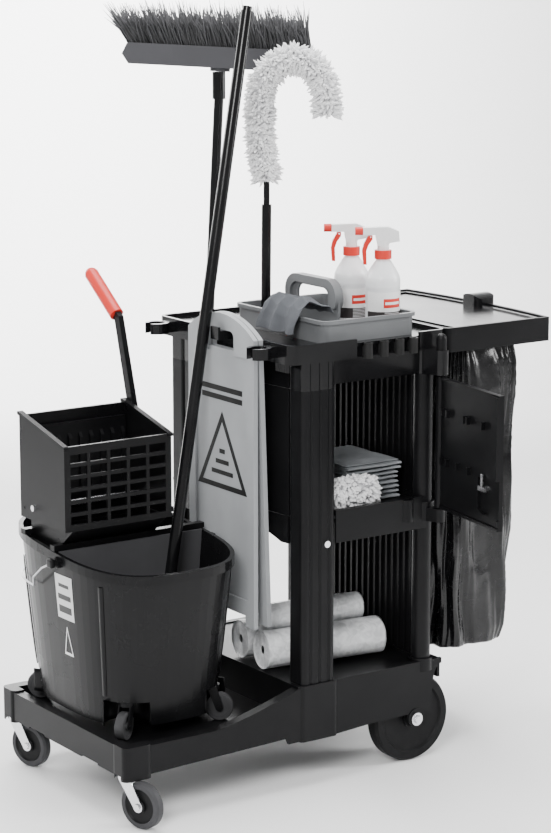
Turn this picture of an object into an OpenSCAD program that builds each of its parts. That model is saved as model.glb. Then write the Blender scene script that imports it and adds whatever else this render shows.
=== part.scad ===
// Housekeeping cart: a wheeled janitor cart that carries a mop bucket with a side-press
// wringer, a hinged floor sign, a waste bag, a caddy of sprayers and long-handled tools.
// The origin is on the floor under the middle of the deck. +X runs to the waste bag,
// -Y is the open side with the cabinet door, +Z is up.

/* [Deck] */
// Length of the deck
deck_l = 841; // [760:1:1000]
// Width of the deck
deck_w = 532; // [480:1:640]
// Height of the deck's lower edge above the floor
apron_z = 110; // [108:1:118]
// Height of the bucket bay's floor
bay_z = 158; // [150:1:164]
// Height of the rim round the bucket bay
rim_z = 175; // [170:1:200]
// Height of the raised platform
platform_z = 234; // [226:1:260]
// Wall thickness of the deck moulding
deck_wall = 7; // [5:0.5:8]

/* [Cabinet] */
// Distance from the deck's middle to the front of the front posts
post_x = 33; // [28:1:60]
// Length of a front post along the cart
post_l = 89; // [70:1:110]
// Depth of a front post across the cart
post_d = 56; // [48:1:66]
// Height of the seam below the top tray
seam_z = 890; // [860:1:920]
// Height of the top rim
top_z = 992; // [980:1:1020]
// Height of the middle shelf's floor
shelf_z = 606; // [560:1:680]
// Diameter of the two rear posts
rear_post_d = 44; // [38:1:48]
// Distance from the deck's middle to the rear posts' axes
rear_post_x = 376; // [370:1:390]

/* [Waste end] */
// Distance from the deck's middle to the end of the hood's straight sides
hood_x = 721; // [690:1:760]
// Height of the hood's side
hood_h = 55; // [45:1:70]
// Bow of the hood's end beyond its corners
hood_bow = 17; // [10:1:30]
// Height of the bag's bottom above the floor
bag_z = 216; // [200:1:300]

/* [Door] */
// Width of the door from its hinge axis
door_w = 258; // [220:1:258]
// Height of the door
door_h = 296; // [240:1:296]
// Thickness of the door panel
door_t = 9; // [7:0.5:11]
// Diameter of the door's hinge pin
door_pin_d = 10; // [8:0.5:12]
// Angle between the open door and the cart's side, as it is drawn
door_open = 82; // [70:1:90]

/* [Wheels] */
// Diameter of the rear wheels
rear_wheel_d = 203.2; // [190:0.1:206]
// Width of the rear wheels
rear_wheel_w = 42; // [32:1:46]
// Diameter of the rear axle
axle_d = 16; // [12:0.5:20]
// Distance from the deck's middle to the rear axle
axle_x = 348.5; // [340:0.5:352]
// Diameter of the front casters' wheels
caster_d = 101.6; // [90:0.1:101.6]
// Width of the front casters' wheels
caster_w = 24; // [20:1:28]
// Distance from a front caster's stem to its axle
caster_trail = 37; // [30:1:40]
// Direction that the front casters trail in, as drawn
caster_angle = -70; // [-90:1:90]

/* [Bucket] */
// Half length of the bucket's rim along the cart
bucket_hx = 190; // [170:1:190]
// Half width of the bucket's rim across the cart
bucket_hy = 258; // [220:1:260]
// Height of the rim at the bucket's middle
bucket_top = 550; // [520:1:580]
// Slope of the rim, rising to the wringer side
rim_tilt = 4.9; // [2:0.1:6]
// Wall thickness of the bucket
bucket_wall = 4; // [3:0.5:6]
// Diameter of the bucket's wheels
bucket_wheel_d = 62; // [50:1:62]

/* [Wringer] */
// Width of the wringer along the cart
wringer_w = 268; // [220:1:270]
// Depth of the wringer across the cart
wringer_d = 195; // [180:1:200]
// Thickness of the wringer's plates
wringer_t = 6; // [4:0.5:8]
// Diameter of the lever's shaft
shaft_d = 14; // [12:0.5:16]

/* [Tools] */
// Diameter of the mop handle
mop_d = 26; // [22:1:28]
// Diameter of the broom handle
broom_d = 22; // [18:1:24]
// Length of the broom head
broom_l = 450; // [380:1:480]
// Width of the floor sign
sign_w = 260; // [220:1:262]
// Thickness of one sign panel
sign_t = 11; // [8:1:12]
// Diameter of a spray bottle
bottle_d = 78; // [66:1:80]

/* [Hidden] */
$fn = 48;

running = 0.1;      // radial clearance of a turning fit
rest_gap = 0.3;     // gap between a loose piece and what it rests on
half_l = deck_l / 2;
half_w = deck_w / 2;
step_x = 22;        // front of the raised platform
rail_w = 24;        // width of the bay's rim
rail_rise_x = -200; // where the side rail starts to rise
pad = 4;            // how far corner pads and post bases stand proud
axle_z = rear_wheel_d / 2;
wheel_y = half_w - deck_wall - 4 - rear_wheel_w / 2;
bracket_y = wheel_y - rear_wheel_w / 2 - 24;
fork_x = -398;      // front caster stems
fork_y = half_w - 26;
crown_z = apron_z - 4;
stem_d = 12;
panel_bow = 12;     // bow of the front panel and tray edge
panel_x = post_x - 9;
panel_hy = half_w - post_d;
tray_x = 0;         // front edge of the top tray
hood_x0 = 424;      // where the hood joins the tray
bag_wall = 4;
lid_z = top_z - 8;
lid_hinge_x = hood_x0 + 26;
door_axis = [388, -half_w - 26];
door_z = 596;
hinge_boss_h = 56;
hinge_barrel_d = 24;
bucket_c = [-240, 24];
bucket_z = 186;
bucket_floor = 250;
caster_roof = 240;
bucket_stems = [[-346, -150], [-128, -150], [-346, 192], [-128, 192]];
bucket_trails = [215, -35, 135, 60];
bucket_trail = 16;
wring_x = -430;     // outer face of the wringer's left plate
wring_y = -45;      // near face of the wringer
shaft_at = [84, 630];
press_at = [130, 622];
lever_x = wring_x + wringer_w + 11;
sign_y = -46;
sign_x = -34;
sign_top = 1040;
sign_seat = top_z + 12;
sign_bottom = 352;
sign_lean = 2;
caddy_at = [108, -237];
caddy_size = [249, 339];
caddy_h = 48;
bottles = [[290, -88], [312, -176]];
bottle_z = top_z + 5;
neck_z = bottle_z + 178;
spray_angle = 148;

mop_foot = [-210.3, -57.6, 262];
mop_top = [84, 21.9, 1687];
mop_way = (mop_top - mop_foot) / norm(mop_top - mop_foot);
broom_foot = [110, 281, 300];
broom_neck = [180, 281, 1485];
broom_axis = -40;
duster_at = [178, 84];
duster_axis = -34.5;

plastic = [0.07, 0.07, 0.075];
grey = [0.45, 0.46, 0.47];
zinc = [0.75, 0.75, 0.77];

// Rounded rectangle from corner a to corner b with corner radius r
module rounded(a, b, r) {
  translate([a[0] + r, a[1]]) square([b[0] - a[0] - 2 * r, b[1] - a[1]]);
  translate([a[0], a[1] + r]) square([b[0] - a[0], b[1] - a[1] - 2 * r]);
  for (x = [a[0] + r, b[0] - r], y = [a[1] + r, b[1] - r]) translate([x, y]) circle(r = r);
}

// Bar of width w with round ends between two points of a plane
module bar2d(a, b, w) {
  length = norm(b - a);
  translate(a) rotate(atan2(b[1] - a[1], b[0] - a[0])) translate([0, -w / 2]) square([length, w]);
  translate(a) circle(d = w);
  translate(b) circle(d = w);
}

// Round rod of diameter d between two points
module rod(a, b, d) {
  v = b - a;
  length = norm(v);
  translate(a) rotate([0, acos(v[2] / length), atan2(v[1], v[0])]) cylinder(d = d, h = length);
}

// Prism of a side view: children drawn as (x, z), from y0 to y1
module along_y(y0, y1) {
  translate([0, y1, 0]) rotate([90, 0, 0]) linear_extrude(y1 - y0) children();
}

// Prism of an end view: children drawn as (y, z), from x0 to x1
module along_x(x0, x1) {
  translate([x0, 0, 0]) rotate([90, 0, 90]) linear_extrude(x1 - x0) children();
}

// Draws its children and their mirror image on the far side
module both_sides() {
  children();
  mirror([0, 1, 0]) children();
}

// Superellipse with half lengths a and b and squareness n
function oval(a, b, n, steps) = [for (i = [0:steps - 1]) let (t = 360 * i / steps)
  [a * sign(cos(t)) * pow(abs(cos(t)), 2 / n), b * sign(sin(t)) * pow(abs(sin(t)), 2 / n)]];

// ---- Deck -------------------------------------------------------------------

rise_end = post_x + 4;
function rail_top(x) = x < rail_rise_x ? rim_z :
  rim_z + (platform_z - rim_z) * pow((x - rail_rise_x) / (rise_end - rail_rise_x), 1.35);
rail_curve = [for (i = [0:14]) let (x = rail_rise_x + (rise_end - rail_rise_x) * i / 14) [x, rail_top(x)]];
tail_curve = [for (i = [0:8]) [half_l - 26 * sin(i * 90 / 8), platform_z - 12 - 60 * (1 - cos(i * 90 / 8))]];

module deck_side() {
  polygon(concat([[-half_l, apron_z], [-half_l, rim_z]], rail_curve,
    [[half_l, platform_z]], tail_curve,
    [[half_l - 28, apron_z + 6], [post_x + 190, apron_z + 4], [post_x + 92, apron_z - 2],
     [post_x - 36, apron_z - 2], [post_x - 42, apron_z + 12]]));
  translate([axle_x, axle_z + 5]) circle(r = 24);
}

module deck() color(plastic) difference() {
  union() {
    both_sides() along_y(-half_w, -half_w + deck_wall) deck_side();
    both_sides() along_y(-half_w, -half_w + rail_w) intersection() {
      deck_side();
      translate([-half_l, bay_z - 6]) square([half_l + step_x + 8, platform_z]);
    }
    translate([-half_l, -half_w, apron_z]) cube([deck_wall, deck_w, rim_z - apron_z]);
    translate([-half_l, -half_w, bay_z - 6]) cube([rail_w, deck_w, rim_z - bay_z + 6]);
    translate([-half_l, -half_w + 1, bay_z - 6]) cube([half_l + step_x + deck_wall, deck_w - 2, 6]);
    translate([step_x, -half_w + 1, bay_z - 6]) cube([deck_wall, deck_w - 2, platform_z - bay_z + 6]);
    translate([step_x, -half_w + 1, platform_z - 7]) cube([half_l - step_x - 4, deck_w - 2, 7]);
    translate([half_l - 4 - deck_wall, -half_w + 1, 190]) cube([deck_wall, deck_w - 2, platform_z - 190]);
    // stiffening ribs under the bay
    for (x = [-290, -170, -50]) translate([x, -half_w + 2, apron_z + 14]) cube([5, deck_w - 4, bay_z - apron_z - 18]);
    for (y = [-90, 85]) translate([-half_l + 2, y, apron_z + 18]) cube([half_l + step_x, 5, bay_z - apron_z - 22]);
    both_sides() {
      // corner pad with the caster socket
      translate([0, 0, apron_z - 6]) linear_extrude(rim_z + 4 - apron_z + 6)
        rounded([-half_l - pad, -half_w - pad], [-half_l + 66, -half_w + 52], 14);
      // post base
      translate([0, 0, apron_z - 4]) linear_extrude(platform_z - apron_z + 4)
        rounded([post_x - 6, -half_w - pad], [post_x + post_l + 5, -half_w + post_d + 4], 10);
      // rear post socket
      translate([rear_post_x, -half_w + rear_post_d / 2, platform_z - 24]) cylinder(d = rear_post_d + 12, h = 30);
      // axle bracket
      translate([axle_x - 26, -bracket_y, axle_z - 20]) cube([52, 8, platform_z - axle_z + 15]);
      // axle tab
      translate([axle_x, -half_w - 2, axle_z + 2]) rotate([-90, 0, 0]) cylinder(r = 22, h = deck_wall + 2);
    }
  }
  // open space of the bay
  translate([-half_l + rail_w, -half_w + rail_w, bay_z]) cube([half_l + step_x - rail_w, deck_w - 2 * rail_w, 200]);
  // shallow tray in the platform
  translate([0, 0, platform_z - 3]) linear_extrude(4)
    rounded([post_x + post_l + 16, -half_w + 16], [half_l - 16, half_w - 16], 22);
  both_sides() {
    translate([axle_x, -half_w - 5, axle_z]) rotate([-90, 0, 0]) cylinder(d = axle_d + 2 * running, h = 120);
    translate([fork_x, -fork_y, apron_z - 8]) cylinder(r = 29, h = 12);
    translate([fork_x, -fork_y, apron_z - 8]) cylinder(d = stem_d + 2 * running, h = 50);
    // socket that the rear post stands in
    translate([rear_post_x, -half_w + rear_post_d / 2, platform_z - 1]) cylinder(d = rear_post_d + 0.4, h = 20);
    // finger relief in the front edge's underside
    translate([-half_l - 1, -150, apron_z - 1]) cube([deck_wall + 2, 70, 5]);
  }
}

// ---- Cabinet frame -----------------------------------------------------------

module post_block(grow) rounded([post_x - grow, -half_w - grow],
  [post_x + post_l + grow, -half_w + post_d + grow], 12 + grow);

module post_outline(inset) difference() {
  post_block(-inset);
  if (inset == 0) for (x = [post_x + 22, post_x + 46, post_x + 70]) translate([x, -half_w - 2]) circle(r = 4.5);
}

module front_post() difference() {
  translate([0, 0, platform_z]) linear_extrude(seam_z - platform_z) difference() {
    post_outline(0);
    post_outline(6);
  }
  translate([post_x + 63, -half_w - 1, 547]) rotate([-90, 0, 0]) cylinder(d = 6, h = 12);
}

module front_post_near() color(plastic) front_post();
module front_post_far() color(plastic) mirror([0, 1, 0]) front_post();

module rear_post() translate([rear_post_x, -half_w + rear_post_d / 2, platform_z - 1]) difference() {
  cylinder(d = rear_post_d, h = seam_z - platform_z + 7);
  translate([0, 0, -1]) cylinder(d = rear_post_d - 8, h = seam_z - platform_z + 12);
}

module rear_post_near() color(plastic) rear_post();
module rear_post_far() color(plastic) mirror([0, 1, 0]) rear_post();

// Bowed sheet between the front posts: thickness t, from z0 to z1
bow_r = (pow(panel_hy, 2) + pow(panel_bow, 2)) / (2 * panel_bow);
module bowed(x, hy, t, z0, z1) intersection() {
  translate([x - 1, -hy, z0]) cube([80, 2 * hy, z1 - z0]);
  difference() {
    translate([x + bow_r, 0, z0 - 1]) cylinder(r = bow_r, h = z1 - z0 + 2, $fn = 200);
    translate([x + bow_r, 0, z0 - 2]) cylinder(r = bow_r - t, h = z1 - z0 + 4, $fn = 200);
  }
}

module front_panel() color(plastic) bowed(panel_x, panel_hy - 1, 5, shelf_z + 1, seam_z - 1);

module divider_panel() color(plastic) {
  hy = half_w - rear_post_d - 8;
  translate([rear_post_x + 6, -hy, platform_z + 0.5]) cube([5, 2 * hy, seam_z - platform_z - 1]);
  for (i = [-9:9]) translate([rear_post_x, i * 22.5 - 3, platform_z + 6]) cube([7, 6, seam_z - platform_z - 14]);
}

lip_z = shelf_z + 12;
skirt_z = shelf_z - 61;
module middle_shelf() color(plastic) difference() {
  union() {
    translate([panel_x + 12, -half_w + 2, shelf_z - 6]) cube([rear_post_x - panel_x - 12.5, deck_w - 4, 6]);
    bowed(panel_x - 3, panel_hy - 1, 22, shelf_z - 6, shelf_z);
    both_sides() {
      translate([post_x + post_l, -half_w, skirt_z]) cube([rear_post_x - post_x - post_l, 6, lip_z - skirt_z]);
      translate([post_x + post_l, -half_w, skirt_z + 44]) cube([rear_post_x - post_x - post_l, 12, lip_z - skirt_z - 44]);
    }
    bowed(panel_x - 3, panel_hy - 1, 8, skirt_z, shelf_z + 0.5);
    translate([rear_post_x - 8, -half_w + 4, shelf_z - 30]) cube([6, deck_w - 8, lip_z - shelf_z + 30]);
    // tool barrel on the near lip
    translate([post_x + 287, -half_w + 8, shelf_z - 40]) cylinder(d = 34, h = 50);
    // lower bracket of the door hinge
    translate([0, 0, door_z - 34]) linear_extrude(30)
      bar2d([rear_post_x, -half_w + 6], door_axis, hinge_barrel_d);
    translate([rear_post_x, -half_w + rear_post_d / 2, door_z - 34])
      cylinder(d = rear_post_d + 12, h = shelf_z - door_z + 33);
  }
  both_sides() {
    translate([0, 0, skirt_z - 2]) linear_extrude(120) post_block(0.3);
    translate([rear_post_x, -half_w + rear_post_d / 2, skirt_z - 20]) cylinder(d = rear_post_d + 0.4, h = 140);
  }
  // arch in the front skirt
  translate([-40, 0, skirt_z + 34 - 533]) rotate([0, 90, 0]) cylinder(r = 533, h = 90, $fn = 160);
  translate([post_x + 287, -half_w + 8, shelf_z - 41]) cylinder(d = 24, h = 60);
  translate([door_axis[0], door_axis[1], door_z - 40]) cylinder(d = door_pin_d + 2 * running, h = 50);
}

// ---- Top tray -------------------------------------------------------------------

notch = [176, 348];
grips = [204, 247, 290, 328];
grip_d = 20;
broom_lean = (broom_neck[0] - broom_foot[0]) / (broom_neck[2] - broom_foot[2]);
clip_z = top_z - 44;
clip_x = broom_foot[0] + (clip_z + 17 - broom_foot[2]) * broom_lean;

module tool_hook(y) translate([0, y, top_z - 30]) linear_extrude(24) difference() {
  union() {
    translate([-40, 0]) circle(r = 27);
    translate([-20, -13]) square([26 + tray_x, 26]);
  }
  translate([-40, 0]) circle(r = 18);
  translate([-80, -11]) square([40, 22]);
}

module top_tray() color(plastic) difference() {
  union() {
    // tray floor and its rim
    translate([0, 0, top_z - 17]) linear_extrude(7) difference() {
      rounded([tray_x + 2, -half_w + 2], [hood_x0, half_w - 2], 20);
      for (s = [-1, 1]) translate([door_axis[0], s * door_axis[1]]) circle(r = 30);
    }
    translate([0, 0, top_z - 42]) linear_extrude(42) difference() {
      rounded([tray_x, -half_w], [hood_x0, half_w], 22);
      rounded([tray_x + 7, -half_w + 7], [hood_x0 - 7, half_w - 7], 16);
    }
    // skirt under the rim, with the post caps
    both_sides() {
      translate([0, 0, seam_z]) linear_extrude(top_z - 12 - seam_z) post_outline(0);
      translate([post_x + post_l - 4, -half_w + 12, seam_z + 6.5])
        cube([rear_post_x - post_x - post_l, 5, top_z - 20 - seam_z]);
      translate([rear_post_x, -half_w + rear_post_d / 2, seam_z + 6])
        cylinder(d = rear_post_d, h = top_z - seam_z - 20);
    }
    bowed(panel_x, panel_hy - 1, 5, seam_z, top_z - 12);
    for (y = [-206, 206]) tool_hook(y);
    // holder for the sign, and its upturned tip
    translate([-54, sign_y - 22, sign_seat - 20]) cube([tray_x + 60, 30, 20 - rest_gap]);
    translate([-54, sign_y - 22, sign_seat - 20]) cube([6, 30, 28]);
    // clip that holds the broom on the far side
    translate([clip_x, broom_foot[1], clip_z]) difference() {
      union() {
        cylinder(d = broom_d + 12, h = 34);
        translate([-12, -18, 0]) cube([24, 12, 34]);
      }
      translate([0, 0, -1]) cylinder(d = broom_d + 3, h = 36);
      translate([-7, 0, -1]) cube([14, 30, 36]);
    }
    // ribbed tool clip by the near corner
    for (i = [0:4]) translate([tray_x + 8, -half_w + 22 + i * 9, top_z - 60]) cylinder(d = 11, h = 50);
    // upper bracket of the door hinge
    translate([0, 0, seam_z + 6]) linear_extrude(hinge_boss_h)
      bar2d([rear_post_x, -half_w + 8], door_axis, hinge_barrel_d + 8);
  }
  // notch in the rim for tool handles
  translate([notch[0], -half_w - 1, top_z - 43]) cube([notch[1] - notch[0], 9, 60]);
  translate([door_axis[0], door_axis[1], seam_z - 2]) cylinder(d = door_pin_d + 2 * running, h = 140);
}

module tool_grips() color([0.05, 0.05, 0.05]) for (x = grips)
  translate([x, -half_w + 10 - grip_d / 2 - 3, top_z - 44]) difference() {
    union() {
      cylinder(d = grip_d, h = 34);
      translate([-5, 6, 4]) cube([10, 8.9, 22.7]);
    }
    translate([0, 0, -1]) cylinder(d = grip_d - 7, h = 36);
  }

// ---- Waste end ---------------------------------------------------------------------

hood_r = (pow(half_w, 2) + pow(hood_bow, 2)) / (2 * hood_bow);
module hood_outline(inset) intersection() {
  rounded([hood_x0 + inset, -half_w + inset], [hood_x + hood_bow + 30, half_w - inset], 14);
  translate([hood_x + hood_bow - hood_r - inset, 0]) circle(r = hood_r, $fn = 240);
}

lid_pin_y = [196, 236];
module bag_hood() color(plastic) difference() {
  union() {
    translate([0, 0, top_z - hood_h]) linear_extrude(hood_h) difference() {
      hood_outline(0);
      hood_outline(8);
    }
    translate([0, 0, top_z - 18]) linear_extrude(6) difference() {
      hood_outline(4);
      hood_outline(30);
    }
  }
  // gap under the lid's grip, and the channel that the lid's barrel turns in
  translate([hood_x - 10, -34, lid_z - 2]) cube([60, 68, 20]);
  translate([lid_hinge_x - 8, -half_w + 8, top_z - 19]) cube([20, deck_w - 16, 20]);
  both_sides() translate([lid_hinge_x, lid_pin_y[0], lid_z - 3]) rotate([-90, 0, 0])
    cylinder(d = 6 + 2 * running, h = lid_pin_y[1] + 40);
}

module bag_lid() color(plastic) difference() {
  union() {
    translate([0, 0, lid_z - 3.5]) linear_extrude(5) intersection() {
      hood_outline(10);
      translate([lid_hinge_x - 4, -300]) square([400, 600]);
    }
    translate([lid_hinge_x, -lid_pin_y[1], lid_z - 3]) rotate([-90, 0, 0]) cylinder(d = 11, h = 2 * lid_pin_y[1]);
    // raised border
    translate([0, 0, lid_z + 1]) linear_extrude(4) difference() {
      intersection() {
        hood_outline(14);
        translate([lid_hinge_x + 12, -300]) square([400, 600]);
      }
      intersection() {
        hood_outline(26);
        translate([lid_hinge_x + 24, -300]) square([400, 600]);
      }
    }
    // domed thumb grip that reaches over the hood's end
    intersection() {
      translate([hood_x - 20, 0, top_z - 36]) rotate([0, 90, 0]) cylinder(r = 58, h = 60, $fn = 96);
      translate([hood_x - 20, -50, lid_z - 1]) cube([56, 100, 60]);
      translate([0, 0, lid_z + 0.5]) linear_extrude(60) rounded([hood_x - 20, -32], [hood_x + 36, 32], 14);
    }
  }
  both_sides() translate([lid_hinge_x, lid_pin_y[0] - 1, lid_z - 3]) rotate([-90, 0, 0])
    cylinder(d = 6 + 2 * running, h = 80);
}

module waste_bag() color([0.05, 0.05, 0.055]) difference() {
  translate([0, 0, bag_z]) linear_extrude(top_z - 18 - rest_gap - bag_z)
    rounded([hood_x0 + 12, -half_w + 20], [hood_x - 32, half_w - 20], 60);
  translate([0, 0, bag_z + bag_wall]) linear_extrude(top_z - bag_z)
    rounded([hood_x0 + 12 + bag_wall, -half_w + 20 + bag_wall], [hood_x - 32 - bag_wall, half_w - 20 - bag_wall], 56);
}

// ---- Door -----------------------------------------------------------------------------

// The door lies along its own -X from the hinge axis when it is shut
module on_door() translate([door_axis[0], door_axis[1], 0]) rotate(door_open) children();

catch_u = 196;
catch_z = door_z + 82;
module door() color(plastic) on_door() difference() {
  union() {
    translate([-door_w, -door_t / 2, door_z]) cube([door_w - 8, door_t, door_h]);
    translate([0, 0, door_z]) cylinder(d = hinge_barrel_d - 2, h = door_h);
    // rim of the panel
    for (z = [door_z, door_z + door_h - 6]) translate([-door_w, -door_t / 2, z]) cube([door_w - 12, door_t + 4, 6]);
    // grip strip on the free edge
    translate([-door_w, 0, door_z + 110]) cube([24, door_t / 2 + 9, door_h - 114]);
    // rows of small ledges on the inside
    for (u = [26, 48, 120, 134, 196], v = [door_z + 212]) translate([-u, 0, v]) cube([6, door_t / 2 + 9, 16]);
    for (u = [26, 48, 92, 140], v = [door_z + 102]) translate([-u, 0, v]) cube([6, door_t / 2 + 9, 16]);
    // stop tab under the free edge
    translate([-door_w, -door_t / 2, door_z + 8]) cube([10, door_t / 2 + 8, 14]);
  }
  translate([0, 0, door_z - 1]) cylinder(d = door_pin_d + 2 * running, h = door_h + 2);
  // oval recess round the latch
  translate([0, 10, 0]) along_y(-12.5, 0) intersection() {
    translate([-catch_u, catch_z - 14]) circle(r = 44);
    translate([-catch_u - 26, catch_z - 64]) square([52, 100]);
  }
  translate([-catch_u, -20, catch_z]) rotate([-90, 0, 0]) cylinder(d = 12 + 2 * running, h = 40);
}

module door_latch() color(zinc) on_door() {
  translate([-catch_u, -door_t / 2 - 6, catch_z]) rotate([-90, 0, 0]) cylinder(d = 12, h = door_t + 10);
  // cylinder face and cross bar of the tee handle
  translate([-catch_u, -door_t / 2 - 10, catch_z]) rotate([-90, 0, 0]) cylinder(d = 24, h = 9.5);
  translate([-catch_u - 15, door_t / 2 + 3, catch_z - 5]) cube([30, 4, 10]);
  translate([-catch_u - 4, door_t / 2 + 3, catch_z - 5]) cube([8, 4, 38]);
}

module hinge_pins() color([0.12, 0.12, 0.13]) {
  translate([door_axis[0], door_axis[1], 0]) {
    translate([0, 0, door_z - 34]) cylinder(d = door_pin_d, h = seam_z + hinge_boss_h - door_z + 42);
    translate([0, 0, seam_z + hinge_boss_h + 6]) cylinder(d = 24, h = 24);
    translate([0, 0, seam_z + hinge_boss_h + 30]) sphere(d = 24);
  }
  both_sides() translate([lid_hinge_x, lid_pin_y[0] + 2, lid_z - 3]) rotate([-90, 0, 0])
    cylinder(d = 6, h = half_w - lid_pin_y[0] - 2);
}

// ---- Wheels ------------------------------------------------------------------------------

module rear_axle() color(zinc) {
  translate([axle_x, -half_w - 5, axle_z]) rotate([-90, 0, 0]) cylinder(d = axle_d, h = deck_w + 10);
  both_sides() {
    translate([axle_x, -half_w - 6, axle_z]) rotate([-90, 0, 0]) cylinder(d = 30, h = 3.8);
    translate([axle_x, -half_w - 12, axle_z]) rotate([-90, 0, 0]) cylinder(d = 19, h = 7, $fn = 6);
    // collars each side of the wheel
    translate([axle_x, -wheel_y + rear_wheel_w / 2 + 1, axle_z]) rotate([-90, 0, 0]) cylinder(d = 26, h = 14);
  }
}

// Wheel on the y axis: a tyre ring that stands proud of a dished disc and hub
module rear_wheel() translate([axle_x, -wheel_y, axle_z]) rotate([90, 0, 0]) rotate_extrude($fn = 96) {
  r = rear_wheel_d / 2;
  w = rear_wheel_w / 2;
  polygon([[axle_d / 2 + running, -w], [24, -w], [24, -w + 8], [r - 24, -w + 6], [r - 20, -w + 1],
    [r - 4, -w + 1], [r, -w + 8], [r, w - 8], [r - 4, w - 1], [r - 20, w - 1], [r - 24, w - 6],
    [24, w - 8], [24, w], [axle_d / 2 + running, w]]);
}

module rear_wheel_near() color([0.06, 0.06, 0.06]) rear_wheel();
module rear_wheel_far() color([0.06, 0.06, 0.06]) mirror([0, 1, 0]) rear_wheel();

// Places its children at a front caster, x along the trail, z = 0 on the floor
module at_caster(side) translate([fork_x, side * fork_y, 0]) rotate(caster_angle) children();

caster_r = caster_d / 2;
caster_hub_d = 30;
caster_bolt_d = 8;
module caster_fork() {
  translate([0, 0, crown_z + 1]) cylinder(r = 24, h = 6);
  translate([0, 0, crown_z + 4]) cylinder(d = stem_d, h = 40);
  for (s = [-1, 1]) along_y(s * (caster_w / 2 + 3.5) - 1.5, s * (caster_w / 2 + 3.5) + 1.5) difference() {
    union() {
      polygon([[-17, crown_z + 2], [17, crown_z + 2], [caster_trail + 9, caster_r + 6],
        [caster_trail + 5, caster_r - 10], [caster_trail - 8, caster_r - 8]]);
      translate([caster_trail, caster_r]) circle(r = 12);
    }
  }
  // axle bolt with its head and nut
  along_y(-caster_w / 2 - 8, caster_w / 2 + 8) translate([caster_trail, caster_r]) circle(d = caster_bolt_d);
  for (s = [-1, 1]) along_y(s * (caster_w / 2 + 7) - 2, s * (caster_w / 2 + 7) + 2)
    translate([caster_trail, caster_r]) circle(d = 15, $fn = 6);
}

module caster_wheel() translate([caster_trail, 0, caster_r]) rotate([90, 0, 0]) rotate_extrude($fn = 72) {
  w = caster_w / 2;
  polygon([[caster_bolt_d / 2 + running, -w - 1.5], [caster_hub_d / 2, -w - 1.5], [caster_hub_d / 2, -w + 4],
    [caster_r - 16, -w + 4], [caster_r - 13, -w + 1], [caster_r - 13, w - 1], [caster_r - 16, w - 4],
    [caster_hub_d / 2, w - 4], [caster_hub_d / 2, w + 1.5], [caster_bolt_d / 2 + running, w + 1.5]]);
}

module caster_tyre() translate([caster_trail, 0, caster_r]) rotate([90, 0, 0]) rotate_extrude($fn = 72) {
  w = caster_w / 2;
  polygon([[caster_r - 13, -w], [caster_r - 4, -w], [caster_r, -w + 5], [caster_r, w - 5],
    [caster_r - 4, w], [caster_r - 13, w]]);
}

module caster_fork_near() color(zinc) at_caster(-1) caster_fork();
module caster_wheel_near() color([0.2, 0.2, 0.2]) at_caster(-1) caster_wheel();
module caster_tyre_near() color(grey) at_caster(-1) caster_tyre();
module caster_fork_far() color(zinc) at_caster(1) caster_fork();
module caster_wheel_far() color([0.2, 0.2, 0.2]) at_caster(1) caster_wheel();
module caster_tyre_far() color(grey) at_caster(1) caster_tyre();

module screws() color(zinc) both_sides()
  translate([post_x + 63, -half_w, 547]) rotate([90, 0, 0]) {
    cylinder(d = 15, h = 5);
    translate([0, 0, -9]) cylinder(d = 5.8, h = 10);
  }

// ---- Bucket ---------------------------------------------------------------------------------

// Slice of the bucket at height z, rim_share from 0 at the base to 1 at the rim
base_share = 0.82;
module bucket_slice(z, share, tilt, grow) translate([bucket_c[0], bucket_c[1], z]) rotate([tilt, 0, 0])
  linear_extrude(0.5) polygon(oval(bucket_hx * share + grow, bucket_hy * share + grow, 3, 64));

module bucket() color(plastic) difference() {
  union() {
    hull() {
      bucket_slice(bucket_z, base_share, 0, 0);
      bucket_slice(bucket_top - 1, 0.985, rim_tilt, 0);
    }
    // rolled rim
    hull() {
      bucket_slice(bucket_top - 20, 0.985, rim_tilt, 5);
      bucket_slice(bucket_top - 0.5, 0.985, rim_tilt, 5);
    }
    // ears for the bail
    for (s = [-1, 1]) translate([bucket_c[0] + s * (bucket_hx - 2), bail_pivot[0], bail_pivot[1]]) rotate([0, 90, 0])
      cylinder(d = 26, h = 16, center = true);
  }
  hull() {
    bucket_slice(bucket_floor, base_share + 0.03, 0, -bucket_wall);
    bucket_slice(bucket_top + 1, 0.985, rim_tilt, -bucket_wall);
  }
  bucket_slice(bucket_top, 0.985, rim_tilt, -bucket_wall);
  // hollow under the floor
  hull() {
    bucket_slice(bucket_z - 2, base_share, 0, -bucket_wall - 2);
    bucket_slice(caster_roof - 0.5, base_share + 0.01, 0, -bucket_wall - 2);
  }
  for (p = bucket_stems) translate([p[0], p[1], bucket_z - 10]) cylinder(r = 52, h = caster_roof - bucket_z + 10);
  for (p = bucket_stems) translate([p[0], p[1], caster_roof - 2]) cylinder(d = 10 + 2 * running, h = 8);
  for (s = [-1, 1]) translate([bucket_c[0] + s * (bucket_hx + 2), bail_pivot[0], bail_pivot[1]]) rotate([0, 90, 0])
    cylinder(d = bail_d + 0.6, h = 13, center = true);
}

divider_t = 4;
module bucket_divider() color([0.28, 0.28, 0.29]) intersection() {
  translate([-450, -4, bucket_floor]) cube([430, divider_t, 330]);
  hull() {
    bucket_slice(bucket_floor - 1, base_share + 0.03, 0, -bucket_wall - 0.3);
    bucket_slice(bucket_top + 1, 0.985, rim_tilt, -bucket_wall - 0.3);
  }
}

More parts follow.
